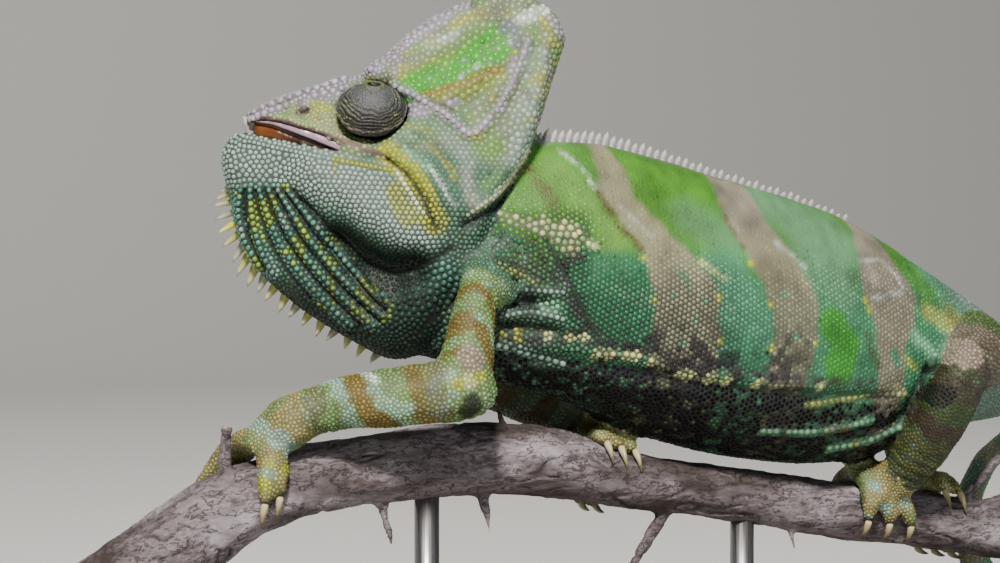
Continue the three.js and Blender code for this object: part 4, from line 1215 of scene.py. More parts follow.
def coat_tree():
    """Geometry Nodes that grow one scale on every root and fit it between its neighbours."""
    tree = bpy.data.node_groups.new("Scale coat", "GeometryNodeTree")
    tree.is_modifier = True
    face = tree.interface
    face.new_socket("Roots", in_out="INPUT", socket_type="NodeSocketGeometry")
    for name, kind, default in (
        ("Scale shape", "NodeSocketObject", None), ("Finish", "NodeSocketMaterial", None),
        ("Seam", "NodeSocketFloat", 0.08), ("Dome", "NodeSocketFloat", 1.0),
        ("Sink", "NodeSocketFloat", 0.00014), ("Patch", "NodeSocketFloat", 0.0015),
    ):
        socket = face.new_socket(name, in_out="INPUT", socket_type=kind)
        if default is not None:
            socket.default_value = default
    face.new_socket("Coat", in_out="OUTPUT", socket_type="NodeSocketGeometry")
    given = add_node(tree, "NodeGroupInput").outputs

    def read(name, kind="FLOAT"):
        return add_node(tree, "GeometryNodeInputNamedAttribute", {"Name": name}, data_type=kind).outputs[0]

    def vector(operation, a, b=None, scale=None):
        inputs = {0: a}
        if b is not None:
            inputs[1] = b
        if scale is not None:
            inputs["Scale"] = scale
        return add_node(tree, "ShaderNodeVectorMath", inputs, operation=operation).outputs[0]

    def number(operation, a, b):
        return add_node(tree, "ShaderNodeMath", {0: a, 1: b}, operation=operation).outputs[0]

    shape = add_node(tree, "GeometryNodeObjectInfo", {"Object": given["Scale shape"]}).outputs["Geometry"]
    grown = add_node(tree, "GeometryNodeInstanceOnPoints", {"Points": given["Roots"], "Instance": shape})
    real = add_node(tree, "GeometryNodeRealizeInstances", {"Geometry": grown.outputs[0]}).outputs[0]
    facing, lie = read("facing", "FLOAT_VECTOR"), read("lie", "FLOAT_VECTOR")
    side = vector("CROSS_PRODUCT", facing, lie)
    flat_x, flat_y, lift = read("flat_x"), read("flat_y"), read("lift")
    pick = add_node(tree, "GeometryNodeIndexSwitch", data_type="FLOAT")
    while len(pick.index_switch_items) < SPOKES:
        pick.index_switch_items.new()
    tree.links.new(read("spoke"), pick.inputs[0])
    for k in range(SPOKES):
        tree.links.new(read(f"reach_{k}"), pick.inputs[k + 1])
    reach = number("MULTIPLY", pick.outputs[0], number("SUBTRACT", 1.0, given["Seam"]))
    flat = vector("ADD", vector("SCALE", lie, scale=flat_x), vector("SCALE", side, scale=flat_y))
    height = number("MULTIPLY", number("MULTIPLY", lift, read("rise")), given["Dome"])
    bend = number("MULTIPLY", number("MULTIPLY", lift, lift), read("bend"))
    place = vector("ADD", read("root", "FLOAT_VECTOR"), vector("SCALE", flat, scale=reach))
    place = vector("ADD", place, vector("SCALE", facing, scale=number("SUBTRACT", height, given["Sink"])))
    place = vector("ADD", place, vector("SCALE", lie, scale=bend))
    moved = add_node(tree, "GeometryNodeSetPosition", {"Geometry": real, "Position": place}).outputs[0]
    spread = add_node(tree, "ShaderNodeCombineXYZ", {"X": flat_x, "Y": flat_y}).outputs[0]
    patch = vector("ADD", read("unwrap", "FLOAT_VECTOR"), vector("SCALE", spread, scale=given["Patch"]))
    mapped = add_node(
        tree, "GeometryNodeStoreNamedAttribute", {"Geometry": moved, "Name": "OFBake", "Value": patch},
        data_type="FLOAT2", domain="CORNER",
    ).outputs[0]
    smooth = add_node(tree, "GeometryNodeSetShadeSmooth", {"Geometry": mapped}).outputs[0]
    done = add_node(tree, "GeometryNodeSetMaterial", {"Geometry": smooth, "Material": given["Finish"]})
    add_node(tree, "NodeGroupOutput", {0: done.outputs[0]})
    return tree


def grow_coat(name, shape, roots, material, seam, dome=1.0):
    """One coat piece from its roots, as a plain mesh with only what its material and map need."""
    count = len(roots["place"])
    points = bpy.data.meshes.new(name + "_roots")
    points.from_pydata([tuple(p) for p in to_world(roots["place"])], [], [])
    for key, values in (("facing", roots["facing"]), ("lie", roots["lie"]), ("unwrap", roots["unwrap"]),
                        ("root", to_world(roots["place"]))):
        layer = points.attributes.new(key, "FLOAT_VECTOR", "POINT")
        layer.data.foreach_set("vector", np.asarray(values, np.float32).ravel())
    for k in range(SPOKES):
        store(points, f"reach_{k}", roots["reach"][:, k] * MM)
    store(points, "rise", roots["rise"] * MM)
    # Painted shade down each scale's sides; half strength where a piece gives none.
    store(points, "shade", roots.get("shade", np.full(count, 0.5)))
    store(points, "bend", roots.get("bend", np.zeros(count)) * MM)
    paint(points, "marking", roots["colour"])
    carrier = new_object(name + "_roots", points)
    change = carrier.modifiers.new("Scale coat", "NODES")
    change.node_group = bpy.data.node_groups.get("Scale coat") or coat_tree()
    sockets = {item.name: item.identifier for item in change.node_group.interface.items_tree
               if item.in_out == "INPUT"}
    change[sockets["Scale shape"]] = shape
    change[sockets["Finish"]] = material
    change[sockets["Seam"]] = seam
    change[sockets["Dome"]] = dome
    mesh = plain_copy(carrier, name)
    bpy.data.objects.remove(carrier)
    for layer in [a.name for a in mesh.attributes]:
        if layer.startswith(("reach_", "flat_")) or layer in (
                "facing", "lie", "root", "unwrap", "rise", "bend", "spoke"):
            mesh.attributes.remove(mesh.attributes[layer])
    obj = new_object(name, mesh)
    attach(obj, "root")
    return obj


# ---------------------------------------------------------------- materials


class Finish:
    """One material's nodes, with short ways to add those that most materials share."""

    def __init__(self, name):
        self.material = bpy.data.materials.new(name)
        self.material.use_nodes = True
        self.tree = self.material.node_tree
        self.tree.nodes.clear()
        self.shader = self.add("BsdfPrincipled")
        self.add("OutputMaterial", {"Surface": self.shader.outputs[0]})

    def add(self, kind, inputs=None, **settings):
        return add_node(self.tree, "ShaderNode" + kind, inputs, **settings)

    def stored(self, name, output="Fac"):
        """A value or colour that the mesh stores."""
        return self.add("Attribute", attribute_name=name).outputs[output]

    def coords(self, stretch=None):
        place = self.add("TexCoord").outputs["Object"]
        return self.add("Mapping", {"Vector": place, "Scale": stretch}).outputs[0] if stretch else place

    def noise(self, place, scale, detail=2.0, **more):
        inputs = {"Vector": place, "Scale": scale, "Detail": detail, **more}
        return self.add("TexNoise", inputs).outputs["Fac"]

    def carried(self, value, low, high, start, end):
        """A value between low and high, carried over to between start and end."""
        return self.add("MapRange", {0: value, 1: low, 2: high, 3: start, 4: end}).outputs[0]

    def math(self, operation, *values):
        return self.add("Math", dict(enumerate(values)), operation=operation).outputs[0]

    def scaled(self, colour, level):
        return self.add("VectorMath", {0: colour, "Scale": level}, operation="SCALE").outputs[0]

    def blend(self, share, first, second):
        return self.add("Mix", {"Factor": share, 6: first, 7: second}, data_type="RGBA").outputs[2]

    def shades(self, value, *stops):
        """A colour that follows a value, from stops of place and colour in order."""
        node = self.add("ValToRGB", {"Fac": value})
        marks = node.color_ramp.elements
        for mark, (place, code) in zip((marks[0], marks[1]), (stops[0], stops[-1])):
            mark.position, mark.color = place, opaque(code)
        for place, code in stops[1:-1]:
            marks.new(place).color = opaque(code)
        return node.outputs[0]

    def bump(self, height, strength, distance):
        return self.add("Bump", {"Height": height, "Strength": strength, "Distance": distance}).outputs[0]

    def done(self, inputs):
        """Gives the shader its inputs, and hands over the material."""
        plug(self.tree, self.shader, inputs)
        return self.material


def scale_material():
    """Keratin scales: a satin horny skin with fine grain, with painted shade down their sides towards the
    soft skin, as strong as their stored shade.
    """
    nodes = Finish("Keratin scales")
    mark = nodes.stored("marking", "Color")
    grain = nodes.noise(nodes.coords(), 2600.0)
    # Painted shade: darker down each scale's sides, by its stored shade.
    foot = nodes.carried(nodes.stored("lift"), 0.0, 0.85, 1.0, 0.0)
    shade = nodes.math("MULTIPLY_ADD", nodes.math("MULTIPLY", foot, nodes.stored("shade")), -0.85, 1.0)
    level = nodes.math("MULTIPLY", shade, nodes.carried(grain, 0.3, 0.7, 0.8, 1.16))
    bright = nodes.add("RGBToBW", {"Color": mark}).outputs[0]
    return nodes.done({
        "Base Color": nodes.scaled(mark, level), "Normal": nodes.bump(grain, 0.12, 0.0002),
        "Specular IOR Level": nodes.carried(bright, 0.0, 0.15, 0.06, 0.5), "Roughness": 0.42,
    })


def spine_material():
    """Soft cones of the crests: coloured like the skin at the root and horn-pale at the tip."""
    nodes = Finish("Crest cones")
    pale = nodes.carried(nodes.stored("lift"), 0.35, 0.95, 0.0, 0.55)
    tone = nodes.blend(pale, nodes.stored("marking", "Color"), opaque("#e3e2c6"))
    return nodes.done({"Base Color": tone, "Roughness": 0.42})


def skin_material():
    """The soft skin between the scales: the same markings, darkened by painted shade, matt and finely
    creased.
    """
    nodes = Finish("Soft skin")
    cells = nodes.add("TexVoronoi", {"Vector": nodes.coords(), "Scale": 1500.0}).outputs["Distance"]
    return nodes.done({
        "Base Color": nodes.stored("marking", "Color"), "Normal": nodes.bump(cells, 0.3, 0.0003),
        "Roughness": 0.62,
    })


def mouth_material():
    """Wet lining of the mouth: pink gum above, orange-brown flesh below that painted shade darkens further
    in, glossy.
    """
    nodes = Finish("Mouth lining")
    lumps = nodes.noise(nodes.coords(), 900.0, 3.0)
    return nodes.done({
        "Base Color": nodes.stored("marking", "Color"), "Normal": nodes.bump(lumps, 0.3, 0.0003),
        "Roughness": 0.3,
    })


def lid_material():
    """Fused eyelids: tight dark skin of very fine grains with black gaps, nearly matt."""
    nodes = Finish("Eyelid skin")
    grains = nodes.add("TexVoronoi", {"Vector": nodes.coords(), "Scale": 2600.0}, feature="DISTANCE_TO_EDGE")
    level = nodes.carried(grains.outputs["Distance"], 0.02, 0.3, 0.3, 1.25)
    return nodes.done({
        "Base Color": nodes.scaled(nodes.stored("marking", "Color"), level),
        "Normal": nodes.bump(level, 0.5, 0.0001), "Roughness": 0.5,
    })


def eye_material():
    """Clear cornea over a dark eyeball: nearly black and very glossy."""
    nodes = Finish("Cornea")
    tone = nodes.shades(nodes.noise(nodes.coords(), 700.0), (0.0, "#020202"), (1.0, "#0b0907"))
    return nodes.done({"Base Color": tone, "Roughness": 0.14, "Specular IOR Level": 0.3, "IOR": 1.38})


def claw_material():
    """Horn: smooth translucent keratin, pale at the root and brown at the tip, with length lines."""
    nodes = Finish("Horn claw")
    tip = nodes.stored("tip")
    lines = nodes.noise(nodes.coords(), 1600.0)
    place = nodes.math("ADD", tip, nodes.math("MULTIPLY_ADD", tip, lines, -0.25))
    return nodes.done({
        "Base Color": nodes.shades(place, (0.1, "#b5ad85"), (1.0, "#5d4f33")), "Roughness": 0.28,
        "Subsurface Weight": 0.1, "Subsurface Radius": (0.002, 0.0012, 0.0006),
    })


def bark_material():
    """Dead thorn branch: grey-lilac bark in long plates with thin cracks, darkened in the cracks and hollows
    partly as dark inner bark and partly as painted shade, and pale wood where cut.
    """
    nodes = Finish("Grey bark")
    coords = nodes.coords()
    warp = nodes.add("TexNoise", {"Vector": coords, "Scale": 160.0, "Detail": 3.0}).outputs["Color"]
    sway = (0.0035, 0.0035, 0.0035)
    bent = nodes.add("VectorMath", {0: warp, 1: sway, 2: coords}, operation="MULTIPLY_ADD")
    along = nodes.add("Mapping", {"Vector": bent.outputs[0], "Scale": (0.34, 1.0, 1.0)}).outputs[0]
    grooves = nodes.noise(along, 300.0, 6.0, Roughness=0.65)
    fine = nodes.noise(along, 900.0, 5.0, Roughness=0.7)
    edge = nodes.math("ABSOLUTE", nodes.math("SUBTRACT", grooves, 0.5))
    crack = nodes.carried(edge, 0.0, 0.022, 0.85, 0.0)
    # Cracks and hollows darkened, partly as dark inner bark and partly as painted shade.
    line = nodes.math("MAXIMUM", nodes.carried(grooves, 0.34, 0.44, 0.7, 0.0), crack)
    split = nodes.math("MAXIMUM", line, nodes.stored("depth"))
    broad = nodes.noise(along, 110.0, 5.0)
    tone = nodes.shades(broad, (0.36, "#453d3c"), (0.5, "#6e666a"), (0.64, "#948b92"))
    mottled = nodes.scaled(tone, nodes.carried(fine, 0.3, 0.7, 0.6, 1.25))
    bark = nodes.blend(split, mottled, opaque("#2b221f"))
    rings = nodes.add("TexWave", {"Vector": coords, "Scale": 260.0, "Distortion": 3.0},
                      wave_type="RINGS", rings_direction="X").outputs["Fac"]
    wood = nodes.blend(rings, opaque("#cbbf9c"), opaque("#a48f6a"))
    return nodes.done({
        "Base Color": nodes.blend(nodes.stored("cut"), bark, wood), "Roughness": 0.85,
        "Normal": nodes.bump(nodes.math("MULTIPLY_ADD", split, -1.2, fine), 0.6, 0.0006),
        "Specular IOR Level": 0.25,
    })


def board_material():
    """Walnut, planed and waxed: dark brown with fine long grain and a low sheen."""
    nodes = Finish("Waxed walnut")
    along = nodes.coords((0.08, 1.0, 1.0))
    bands = nodes.noise(along, 120.0, 6.0, Roughness=0.6, Distortion=0.4)
    pores = nodes.noise(along, 1400.0, 3.0)
    tone = nodes.shades(bands, (0.32, "#2c1d14"), (0.7, "#5e412b"))
    return nodes.done({
        "Base Color": nodes.scaled(tone, nodes.carried(pores, 0.35, 0.6, 0.72, 1.05)),
        "Normal": nodes.bump(pores, 0.12, 0.0003), "Roughness": 0.38, "Coat Weight": 0.15,
    })


def steel_material():
    """Stainless rod, drawn and brushed: even grey metal with fine lines along its length."""
    nodes = Finish("Brushed stainless steel")
    lines = nodes.noise(nodes.coords((1.0, 1.0, 0.02)), 4000.0)
    return nodes.done({
        "Base Color": opaque("#b4b5b7"), "Metallic": 1.0,
        "Roughness": nodes.carried(lines, 0.3, 0.7, 0.24, 0.4),
    })


# ---------------------------------------------------------------- shared state of one build

BUILD = {}


def shared(key, make, *given):
    """What one build makes once and then uses again."""
    if key not in BUILD:
        BUILD[key] = make(*given)
    return BUILD[key]


def pebble():
    return shared("pebble", template, "scale_pebble", [(1.0, 0.0), (0.69, 0.74)])


# ---------------------------------------------------------------- pieces

# The eye: its half widths, the way it looks, where the lids begin and end in degrees from that way, the
# eyeball's radius and how far out its front stands, and the distance between the lids' scales.
EYE = {
    "centre": (-26.8, 10.4, 35.6), "radius": (7.5, 7.5, 6.0), "gaze": (0.1, 0.44, 0.9), "opening": 15,
    "back": 168, "ball": 2.6, "front": 5.3, "grain": 0.5,
}
PALE_LIP_END = -50.8  # where the pale lip of the snout's tip ends, along the head
COAT_PIECES = {
    "scales_head": ("head", "casque"),
    "scales_throat": ("throat",),
    "scales_chest": ("neck", "chest"),
    "scales_belly": ("belly", "pelvis"),
    "scales_tail": ("tail_1", "tail_2", "tail_3", "tail_4", "tail_5"),
    "scales_fore_limbs": tuple(n for n in FLESH if "_fore_" in n),
    "scales_hind_limbs": tuple(n for n in FLESH if "_hind_" in n),
}
# Cones of the throat: how many, where they begin and end on its edge, and over the row from front to back
# their length, radius and the way they point, in degrees from the back of the head.
GULAR_CREST = {
    "count": 19, "from": 0.1, "to": 0.85, "at": (0, 0.12, 0.4, 0.6, 1),
    "long": (2.3, 4.9, 5.0, 3.8, 2.3), "radius": (0.75, 0.85, 1.2, 1.25, 1.1),
    "way": (205, 187, 243, 235, 235), "stray": 14,
}
BACK_CREST = {"from": 5.0, "to": 84, "spacing": 1.75, "height": (3.2, 1.0), "radius": 1.25}


def in_mouth(body, head, normals):
    """Where the skin is the roof or the floor of the mouth."""
    roof, floor = height_of(UPPER_LIP, head[:, 0]), height_of(LOWER_LIP, head[:, 0])
    inner = np.abs(head[:, 1]) < np.interp(head[:, 0], *body.jaw.T) - 0.9
    z = head[:, 2]
    level = (np.abs(z - roof) < 0.9) & (normals[:, 2] < -0.55)
    level |= (np.abs(z - floor) < 0.9) & (normals[:, 2] > 0.55) & inner
    return level & (head[:, 0] < -23.4)


def bare_lip(head):
    """The strip without scales along the upper lip, and the nostril."""
    gap, _ = path_distance(head[:, [0, 2]] - (0, 0.4), UPPER_LIP)
    return (gap < 0.5) & (head[:, 0] < -24) | nostril(head)


def nostril(head):
    return path_distance(head[:, [0, 2]], NOSTRIL)[0] < 0.85


def under_eye(head):
    near = np.zeros(len(head), bool)
    x, y, z = EYE["centre"]
    for side in (-1, 1):
        gap = (head - (x, side * y, z)) / (np.array(EYE["radius"]) + 0.15)
        near |= (gap ** 2).sum(1) < 1
    return near


def lie_of(points, parts, normals, axes):
    """The way the scales point: back over head and trunk, and down the limbs and the tail."""
    lie = np.tile((1.0, 0.0, -0.3), (len(points), 1))
    for index, name in enumerate(FLESH):
        here = parts == index
        if name.startswith(("left_", "right_")) or name == "tail_1":
            lie[here] = axes[name][1]
        elif name.startswith("tail"):
            away = points[here] - TAIL_EYE
            lie[here] = np.cross(away, (0, 1, 0))
        elif name in HEAD_PARTS:
            lie[here] = turned(np.array([(0.7, 0.0, -0.7 if name == "throat" else 0.5)]), HEAD_TURN)[0]
    lie = lie - (lie * normals).sum(1)[:, None] * normals
    weak = np.linalg.norm(lie, axis=1) < 0.05
    lie[weak] = np.cross(normals[weak], (0.3, 0.8, 0.5))
    return unit(lie)


def unwrap_of(points, parts, axes, names):
    """A place on an unwrap of the skin's own shape: along and round each part, in its own strip."""
    flat = np.zeros((len(points), 3))
    strips = len(names)
    for row, name in enumerate(names):
        here = parts == FLESH.index(name)
        start, along, length = axes[name]
        away = points[here] - start
        share = away @ along / length
        across = np.cross(along, (0.31, 0.2, 0.93))
        across = across / np.linalg.norm(across)
        other = np.cross(along, across)
        centre = away - (away @ along)[:, None] * along
        if len(centre):
            centre = centre - centre.mean(0)
        angle = np.arctan2(centre @ across, centre @ other) / (2 * math.pi) + 0.5
        flat[here, 0] = 0.02 + 0.96 * np.clip(share, 0, 1)
        flat[here, 1] = (row + 0.03 + 0.94 * angle) / strips
    return flat


def build_skin():
    body = shared("skin", Skin)
    mesh = body.mesh
    colours = markings(body.points, body.part, body.axes)
    # Painted shade darkens the soft skin between the scales.
    colours *= 1 - 0.9 * painted_seam_shade(body.points, body.part)[:, None]
    lip = bare_lip(body.head) & body.on_head
    in_front = body.head[:, 0] <= PALE_LIP_END
    colours[lip & ~in_front] = linear("lip")
    colours[lip & in_front] = linear("pale_lip")
    # Painted shade in the nostril.
    colours[nostril(body.head) & body.on_head] = linear("#2e0f16")
    # Painted shade: near-black brown on the roof and floor of the mouth.
    colours[in_mouth(body, body.head, body.normals)] = linear("#2a120c")
    paint(mesh, "marking", colours)
    mesh.materials.clear()
    obj = surfaced("skin", mesh, "soft skin", skin_material)
    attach(obj, "root")
    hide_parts(*FLESH)


def build_scales():
    body = shared("skin", Skin)
    tools = bpy.context.scene.chameleon_scales
    rows, row_sizes = lined_up(body)
    free = scattered(body.mesh, scale_sizes(body.points, body.part) * tools.size, tools.seed, tools.packing)
    for owners, pitch, slant in LATTICES:
        even, normals = lattice(body, owners, pitch * tools.size, slant)
        for source in ("even", "free"):
            places = even if source == "even" else free
            _, around = on_surface(places, body.surface)
            parts = body.parts_at(to_world(places))
            ordered = belongs(parts, owners) & (np.abs(around[:, 1]) > 0.8)
            ordered &= np.abs(scale_sizes(places, parts) - pitch) < 0.08 * pitch
            if source == "even":
                even = even[ordered]
            else:
                free = np.concatenate([free[~ordered], even])
    crowd = lookup_of(rows)
    free = free[[gap > ROW_CLEARANCE * row_sizes[row] for _, row, gap in map(crowd.find, free)]]
    sizes = np.concatenate([row_sizes, scale_sizes(free, body.parts_at(to_world(free))) * tools.size])
    held = np.arange(len(sizes)) < len(rows)
    places, normals = eased(np.concatenate([rows, free]), sizes, held, body.surface,
                            tools.easing)
    parts, head = body.parts_at(to_world(places)), to_head(places)
    good = ~(in_mouth(body, head, normals) | under_eye(head) | bare_lip(head) & belongs(parts, HEAD_PARTS))
    places, normals, parts, sizes, held = (values[good] for values in (places, normals, parts, sizes, held))
    reach, lie = root_shapes(places, normals, lie_of(places, parts, normals, body.axes), sizes)
    colour = markings(places, parts, body.axes)
    # Painted shade for the scales' sides, which also sets how high they stand.
    shade = painted_seam_shade(places, parts)
    dice = np.random.default_rng(tools.seed + 1)
    colour = np.clip(colour * (1 + dice.normal(0, tools.variation, (len(colour), 1))), 0, 1)
    colour = np.clip(colour * (1 + dice.normal(0, tools.variation / 4, colour.shape)), 0, 1)
    rise = reach.mean(1) * (0.2 + 0.5 * shade) * (1 + dice.normal(0, 0.1, len(reach)))
    rise *= np.where(held, 1.3, 1)
    for name, owners in COAT_PIECES.items():
        here = belongs(parts, owners)
        roots = {
            "place": places[here], "facing": normals[here], "lie": lie[here], "reach": reach[here],
            "rise": rise[here], "colour": colour[here], "shade": shade[here],
            "unwrap": unwrap_of(places[here], parts[here], body.axes, owners),
        }
        grow_coat(name, pebble(), roots, shared("scales", scale_material), tools.seam)


def build_spines():
    """The crest of soft cones down the throat, and the comb of cones down the back."""
    shape = GULAR_CREST
    order = np.arange(shape["count"])
    share = order / order[-1]
    edge = shape["from"] + (shape["to"] - shape["from"]) * share ** 1.25
    base = resampled(THROAT_EDGE, 1001)[np.round(edge * 1000).astype(int)]
    base = np.insert(base, 1, 0.0, axis=1)
    stray = shape["stray"] * np.sin(order * 2.4) * share
    way = np.radians(np.interp(share, shape["at"], shape["way"]) + stray)
    gular = {
        "place": base, "facing": np.stack([np.cos(way), 0 * way, np.sin(way)], axis=1),
        "long": np.interp(share, shape["at"], shape["long"]) + 0.3 * np.sin(order * 1.9),
        "radius": np.interp(share, shape["at"], shape["radius"]), "bend": np.full(len(base), 0.35),
        "colour": np.array([linear("#8d8f4a" if i % 3 else "#7b7f66") for i in order]),
    }
    gular["colour"][4] = linear("#b4bb1c")
    gular["place"] = turned(gular["place"], HEAD_TURN)
    gular["facing"] = turned(gular["facing"], HEAD_TURN)
    shape = BACK_CREST
    x = np.arange(shape["from"], shape["to"], shape["spacing"])
    share = (x - x[0]) / (x[-1] - x[0])
    high, low = shape["height"]
    back = {
        "place": np.stack([x, 0 * x, height_of(BACK, x) - 0.25], axis=1),
        "facing": unit(np.tile((0.22, 0.0, 1.0), (len(x), 1))),
        "long": high + (low - high) * share ** 0.8 + 0.3 * np.sin(np.arange(len(x)) * 2.4),
        "radius": shape["radius"] * (1 - 0.25 * share), "bend": np.full(len(x), 0.3),
        "colour": plain("crest", len(x)),
    }
    both = {key: np.concatenate([gular[key], back[key]]) for key in gular}
    count = len(both["place"])
    both["place"] = both["place"] - both["facing"] * 0.7
    both["rise"] = both.pop("long") + 0.7
    both["lie"] = np.cross(both["facing"], np.tile((0.0, 1.0, 0.0), (count, 1)))
    both["lie"][len(base):] *= -1
    both["reach"] = np.repeat(both["radius"][:, None], SPOKES, axis=1)
    both["unwrap"] = np.stack([np.linspace(0.02, 0.98, count), np.full(count, 0.5), np.zeros(count)], axis=1)
    cone = template("scale_spine", [(1.0, 0.0), (0.86, 0.28), (0.5, 0.7)])
    grow_coat("spines", cone, both, shared("crest", spine_material), 0.0)


def eye_point(direction):
    """Where a direction from the eye's centre meets its turret, with the low rim round the opening."""
    gaze = unit(np.array(EYE["gaze"]))
    radius = np.array(EYE["radius"])
    reach = 1 / np.sqrt(((direction / radius) ** 2).sum(-1))
    angle = np.degrees(np.arccos(np.clip(direction @ gaze, -1, 1)))
    around, warp, line = eye_lines(direction)
    creased = ramp(around, 30, 48) * ramp(angle, 30, 44)
    fold = 0.15 * line * creased * (0.6 + warp)
    rise, dip = ((around - 84 - warp * 5) / 4) ** 2, ((around - 91 - warp * 5) / 3) ** 2
    fold += 0.34 * np.exp(-rise) - 0.3 * np.exp(-dip)
    neck = 0.55 * ramp(-angle, -30, -15) - 0.45 * np.exp(-((angle - EYE["opening"]) / 2.5) ** 2)
    return direction * (reach + fold + neck - 0.45)[..., None], angle


def eye_lines(direction):
    """The lids' creases, which run round a point between the opening and the side of the head."""
    flat = direction.reshape(-1, 3)
    warp = (noise(flat, 0.5, 53) + noise(flat, 0.22, 54) * 0.6).reshape(direction.shape[:-1])
    around = np.degrees(np.arccos(np.clip(direction @ unit(np.array((0.05, 0.78, 0.62))), -1, 1)))
    return around, warp, np.sin(around * 0.8 + warp * 6)


def eye_axes():
    """The way an eye looks, and two ways across it."""
    gaze = unit(np.array(EYE["gaze"]))
    across = unit(np.cross(gaze, (1.0, 0.0, 0.0)))
    return gaze, across, np.cross(gaze, across)


def build_lids(name, place):
    """One turret of lids from rings round the way it looks; the first ring turns in under the opening."""
    gaze, across, other = eye_axes()
    rings, around = 110, 120
    angles = np.radians(EYE["opening"] + (EYE["back"] - EYE["opening"]) * np.linspace(0, 1, rings) ** 0.9)
    turn = np.linspace(0, 2 * math.pi, around, endpoint=False)
    direction = (
        np.cos(angles)[:, None, None] * gaze
        + np.sin(angles)[:, None, None] * (
            np.cos(turn)[None, :, None] * across + np.sin(turn)[None, :, None] * other)
    )
    points, spread = eye_point(direction)
    flat = np.concatenate([points[0] * 0.8, points.reshape(-1, 3), (points[-1].mean(0) * 0.99)[None]])
    faces = [(a, d, c, b) for a, b, c, d in ring_faces(rings + 1, around)]
    last = rings * around
    faces += [(last + i, len(flat) - 1, last + (i + 1) % around) for i in range(around)]
    mesh = mesh_from(name + "_lids", to_world(place(flat)), faces)
    outward(mesh)
    paint(mesh, "marking", eye_colour(np.concatenate([spread[0], spread.reshape(-1), [170]]), flat))
    return surfaced(name + "_lids", mesh, "lids", lid_material)


def build_eyeball(name, place):
    """The eyeball under the opening."""
    ball = bmesh.new()
    bmesh.ops.create_uvsphere(ball, u_segments=32, v_segments=20, radius=EYE["ball"] * MM)
    heart = (eye_axes()[0] * (EYE["front"] - EYE["ball"]))[None]
    bmesh.ops.translate(ball, verts=ball.verts, vec=to_world(place(heart))[0])
    mesh = bpy.data.meshes.new(name + "_ball")
    ball.to_mesh(mesh)
    ball.free()
    return surfaced(name + "_ball", mesh, "cornea", eye_material)


def lid_roots(place, faced):
    """Roots of the lids' fine scales, in rings round the opening."""
    gaze, across, other = eye_axes()
    dice = np.random.default_rng(5)
    grain, radius = EYE["grain"], 7.0
    directions = []
    for row in range(200):
        angle = math.radians(EYE["opening"] + 1.5) + row * grain / radius
        if angle > math.radians(150):
            break
        count = int(2 * math.pi * radius * math.sin(angle) / grain)
        for i in range(count):
            phi = 2 * math.pi * (i + 0.5 * (row % 2)) / count
            out = math.cos(phi) * across + math.sin(phi) * other
            directions.append(math.cos(angle) * gaze + math.sin(angle) * out)
    directions = unit(np.array(directions) + dice.normal(0, 0.006, (len(directions), 3)))
    places, spread = eye_point(directions)
    facing = unit(places / np.array(EYE["radius"]) ** 2)
    tone = eye_colour(spread, places) * (1 + dice.normal(0, 0.26, (len(places), 1)))
    lie = unit(np.cross(facing, np.cross(gaze, facing)) + 1e-6)
    roots = {
        "place": place(places), "facing": faced(facing), "colour": np.clip(tone, 0, 1),
        "rise": np.full(len(places), 0.16),
        "unwrap": np.stack([np.degrees(np.arccos(np.clip(directions @ gaze, -1, 1))) / 180,
                            np.arctan2(directions @ across, directions @ other) / 6.4 + 0.5,
                            np.zeros(len(places))], axis=1),
    }
    sizes = np.full(len(places), grain)
    roots["reach"], roots["lie"] = root_shapes(roots["place"], roots["facing"], faced(lie), sizes)
    return roots


def build_eyes():
    """Turret eyes: scaly lids grown together over the eyeball, with one small opening."""
    for name, side in (("left_eye", -1), ("right_eye", 1)):
        mirror = np.array((1, side, 1))
        centre = np.array(EYE["centre"]) * mirror

        def place(points):
            return turned(points * mirror + centre, HEAD_TURN)

        def faced(ways):
            return turned(ways * mirror, HEAD_TURN)

        obj = build_lids(name, place)
        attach(obj, "root")
        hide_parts(name)
        eyeball = build_eyeball(name, place)
        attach(eyeball, "root")
        roots = lid_roots(place, faced)
        coat = grow_coat(name + "_scales", pebble(), roots, shared("scales", scale_material), 0.1)


def eye_colour(angle, places):
    """Nearly black lids with grey grain, broken olive lines along the creases, and a green rim; painted shade
    darkens the grooves between the folds and the lids where they turn in under the opening.
    """
    around, warp, line = eye_lines(unit(places))
    colour = plain("#4b4e50", len(angle))
    creased = ramp(around, 34, 50) * ramp(angle, 32, 44)
    colour = mix(colour, "#3a3430", creased * ramp(-places[:, 2], -1, 2) * 0.8)
    # Painted shade in the grooves between the lids' folds.
    colour = mix(colour, "#08080a", ramp(-line, 0.1, 0.7) * creased * 0.9)
    sides = ramp(np.abs(places[:, 0]), 2.5, 5)
    colour = mix(colour, "#7d8650", ramp(line, 0.6, 0.95) * creased * sides * ramp(warp, -0.4, 0.2) * 0.8)
    colour = mix(colour, "#6d6864", ramp(line, 0.6, 0.95) * creased * (1 - sides) * 0.5)
    colour = mix(colour, "#8a7f7c", ramp(-np.abs(around - 84 - warp * 5), -4, -1.5) * 0.6)
    colour = mix(colour, "#565c2c", ramp(-np.abs(angle - 20), -8, -3) * 0.5)
    colour = mix(colour, "#5e6a2c", ramp(-np.abs(angle - EYE["opening"] - 2.2), -2, -0.8) * 0.85)
    # Painted shade where the lids turn in under the opening.
    return mix(colour, "#0b0a08", ramp(-angle, -EYE["opening"] - 0.9, -EYE["opening"] + 0.2))


# The mouth's lining from roof to floor: height under the lip, depth behind it, and the share of flesh.
MOUTH_ROWS = [
    (0.7, 1.1, 0), (0.1, 0.75, 0), (-0.5, 0.62, 0), (-1.15, 0.75, 0), (-1.4, 1.2, 0.6), (-1.5, 2.2, 1),
    (-2.6, 2.2, 1), (-99, 1.0, 1),
]


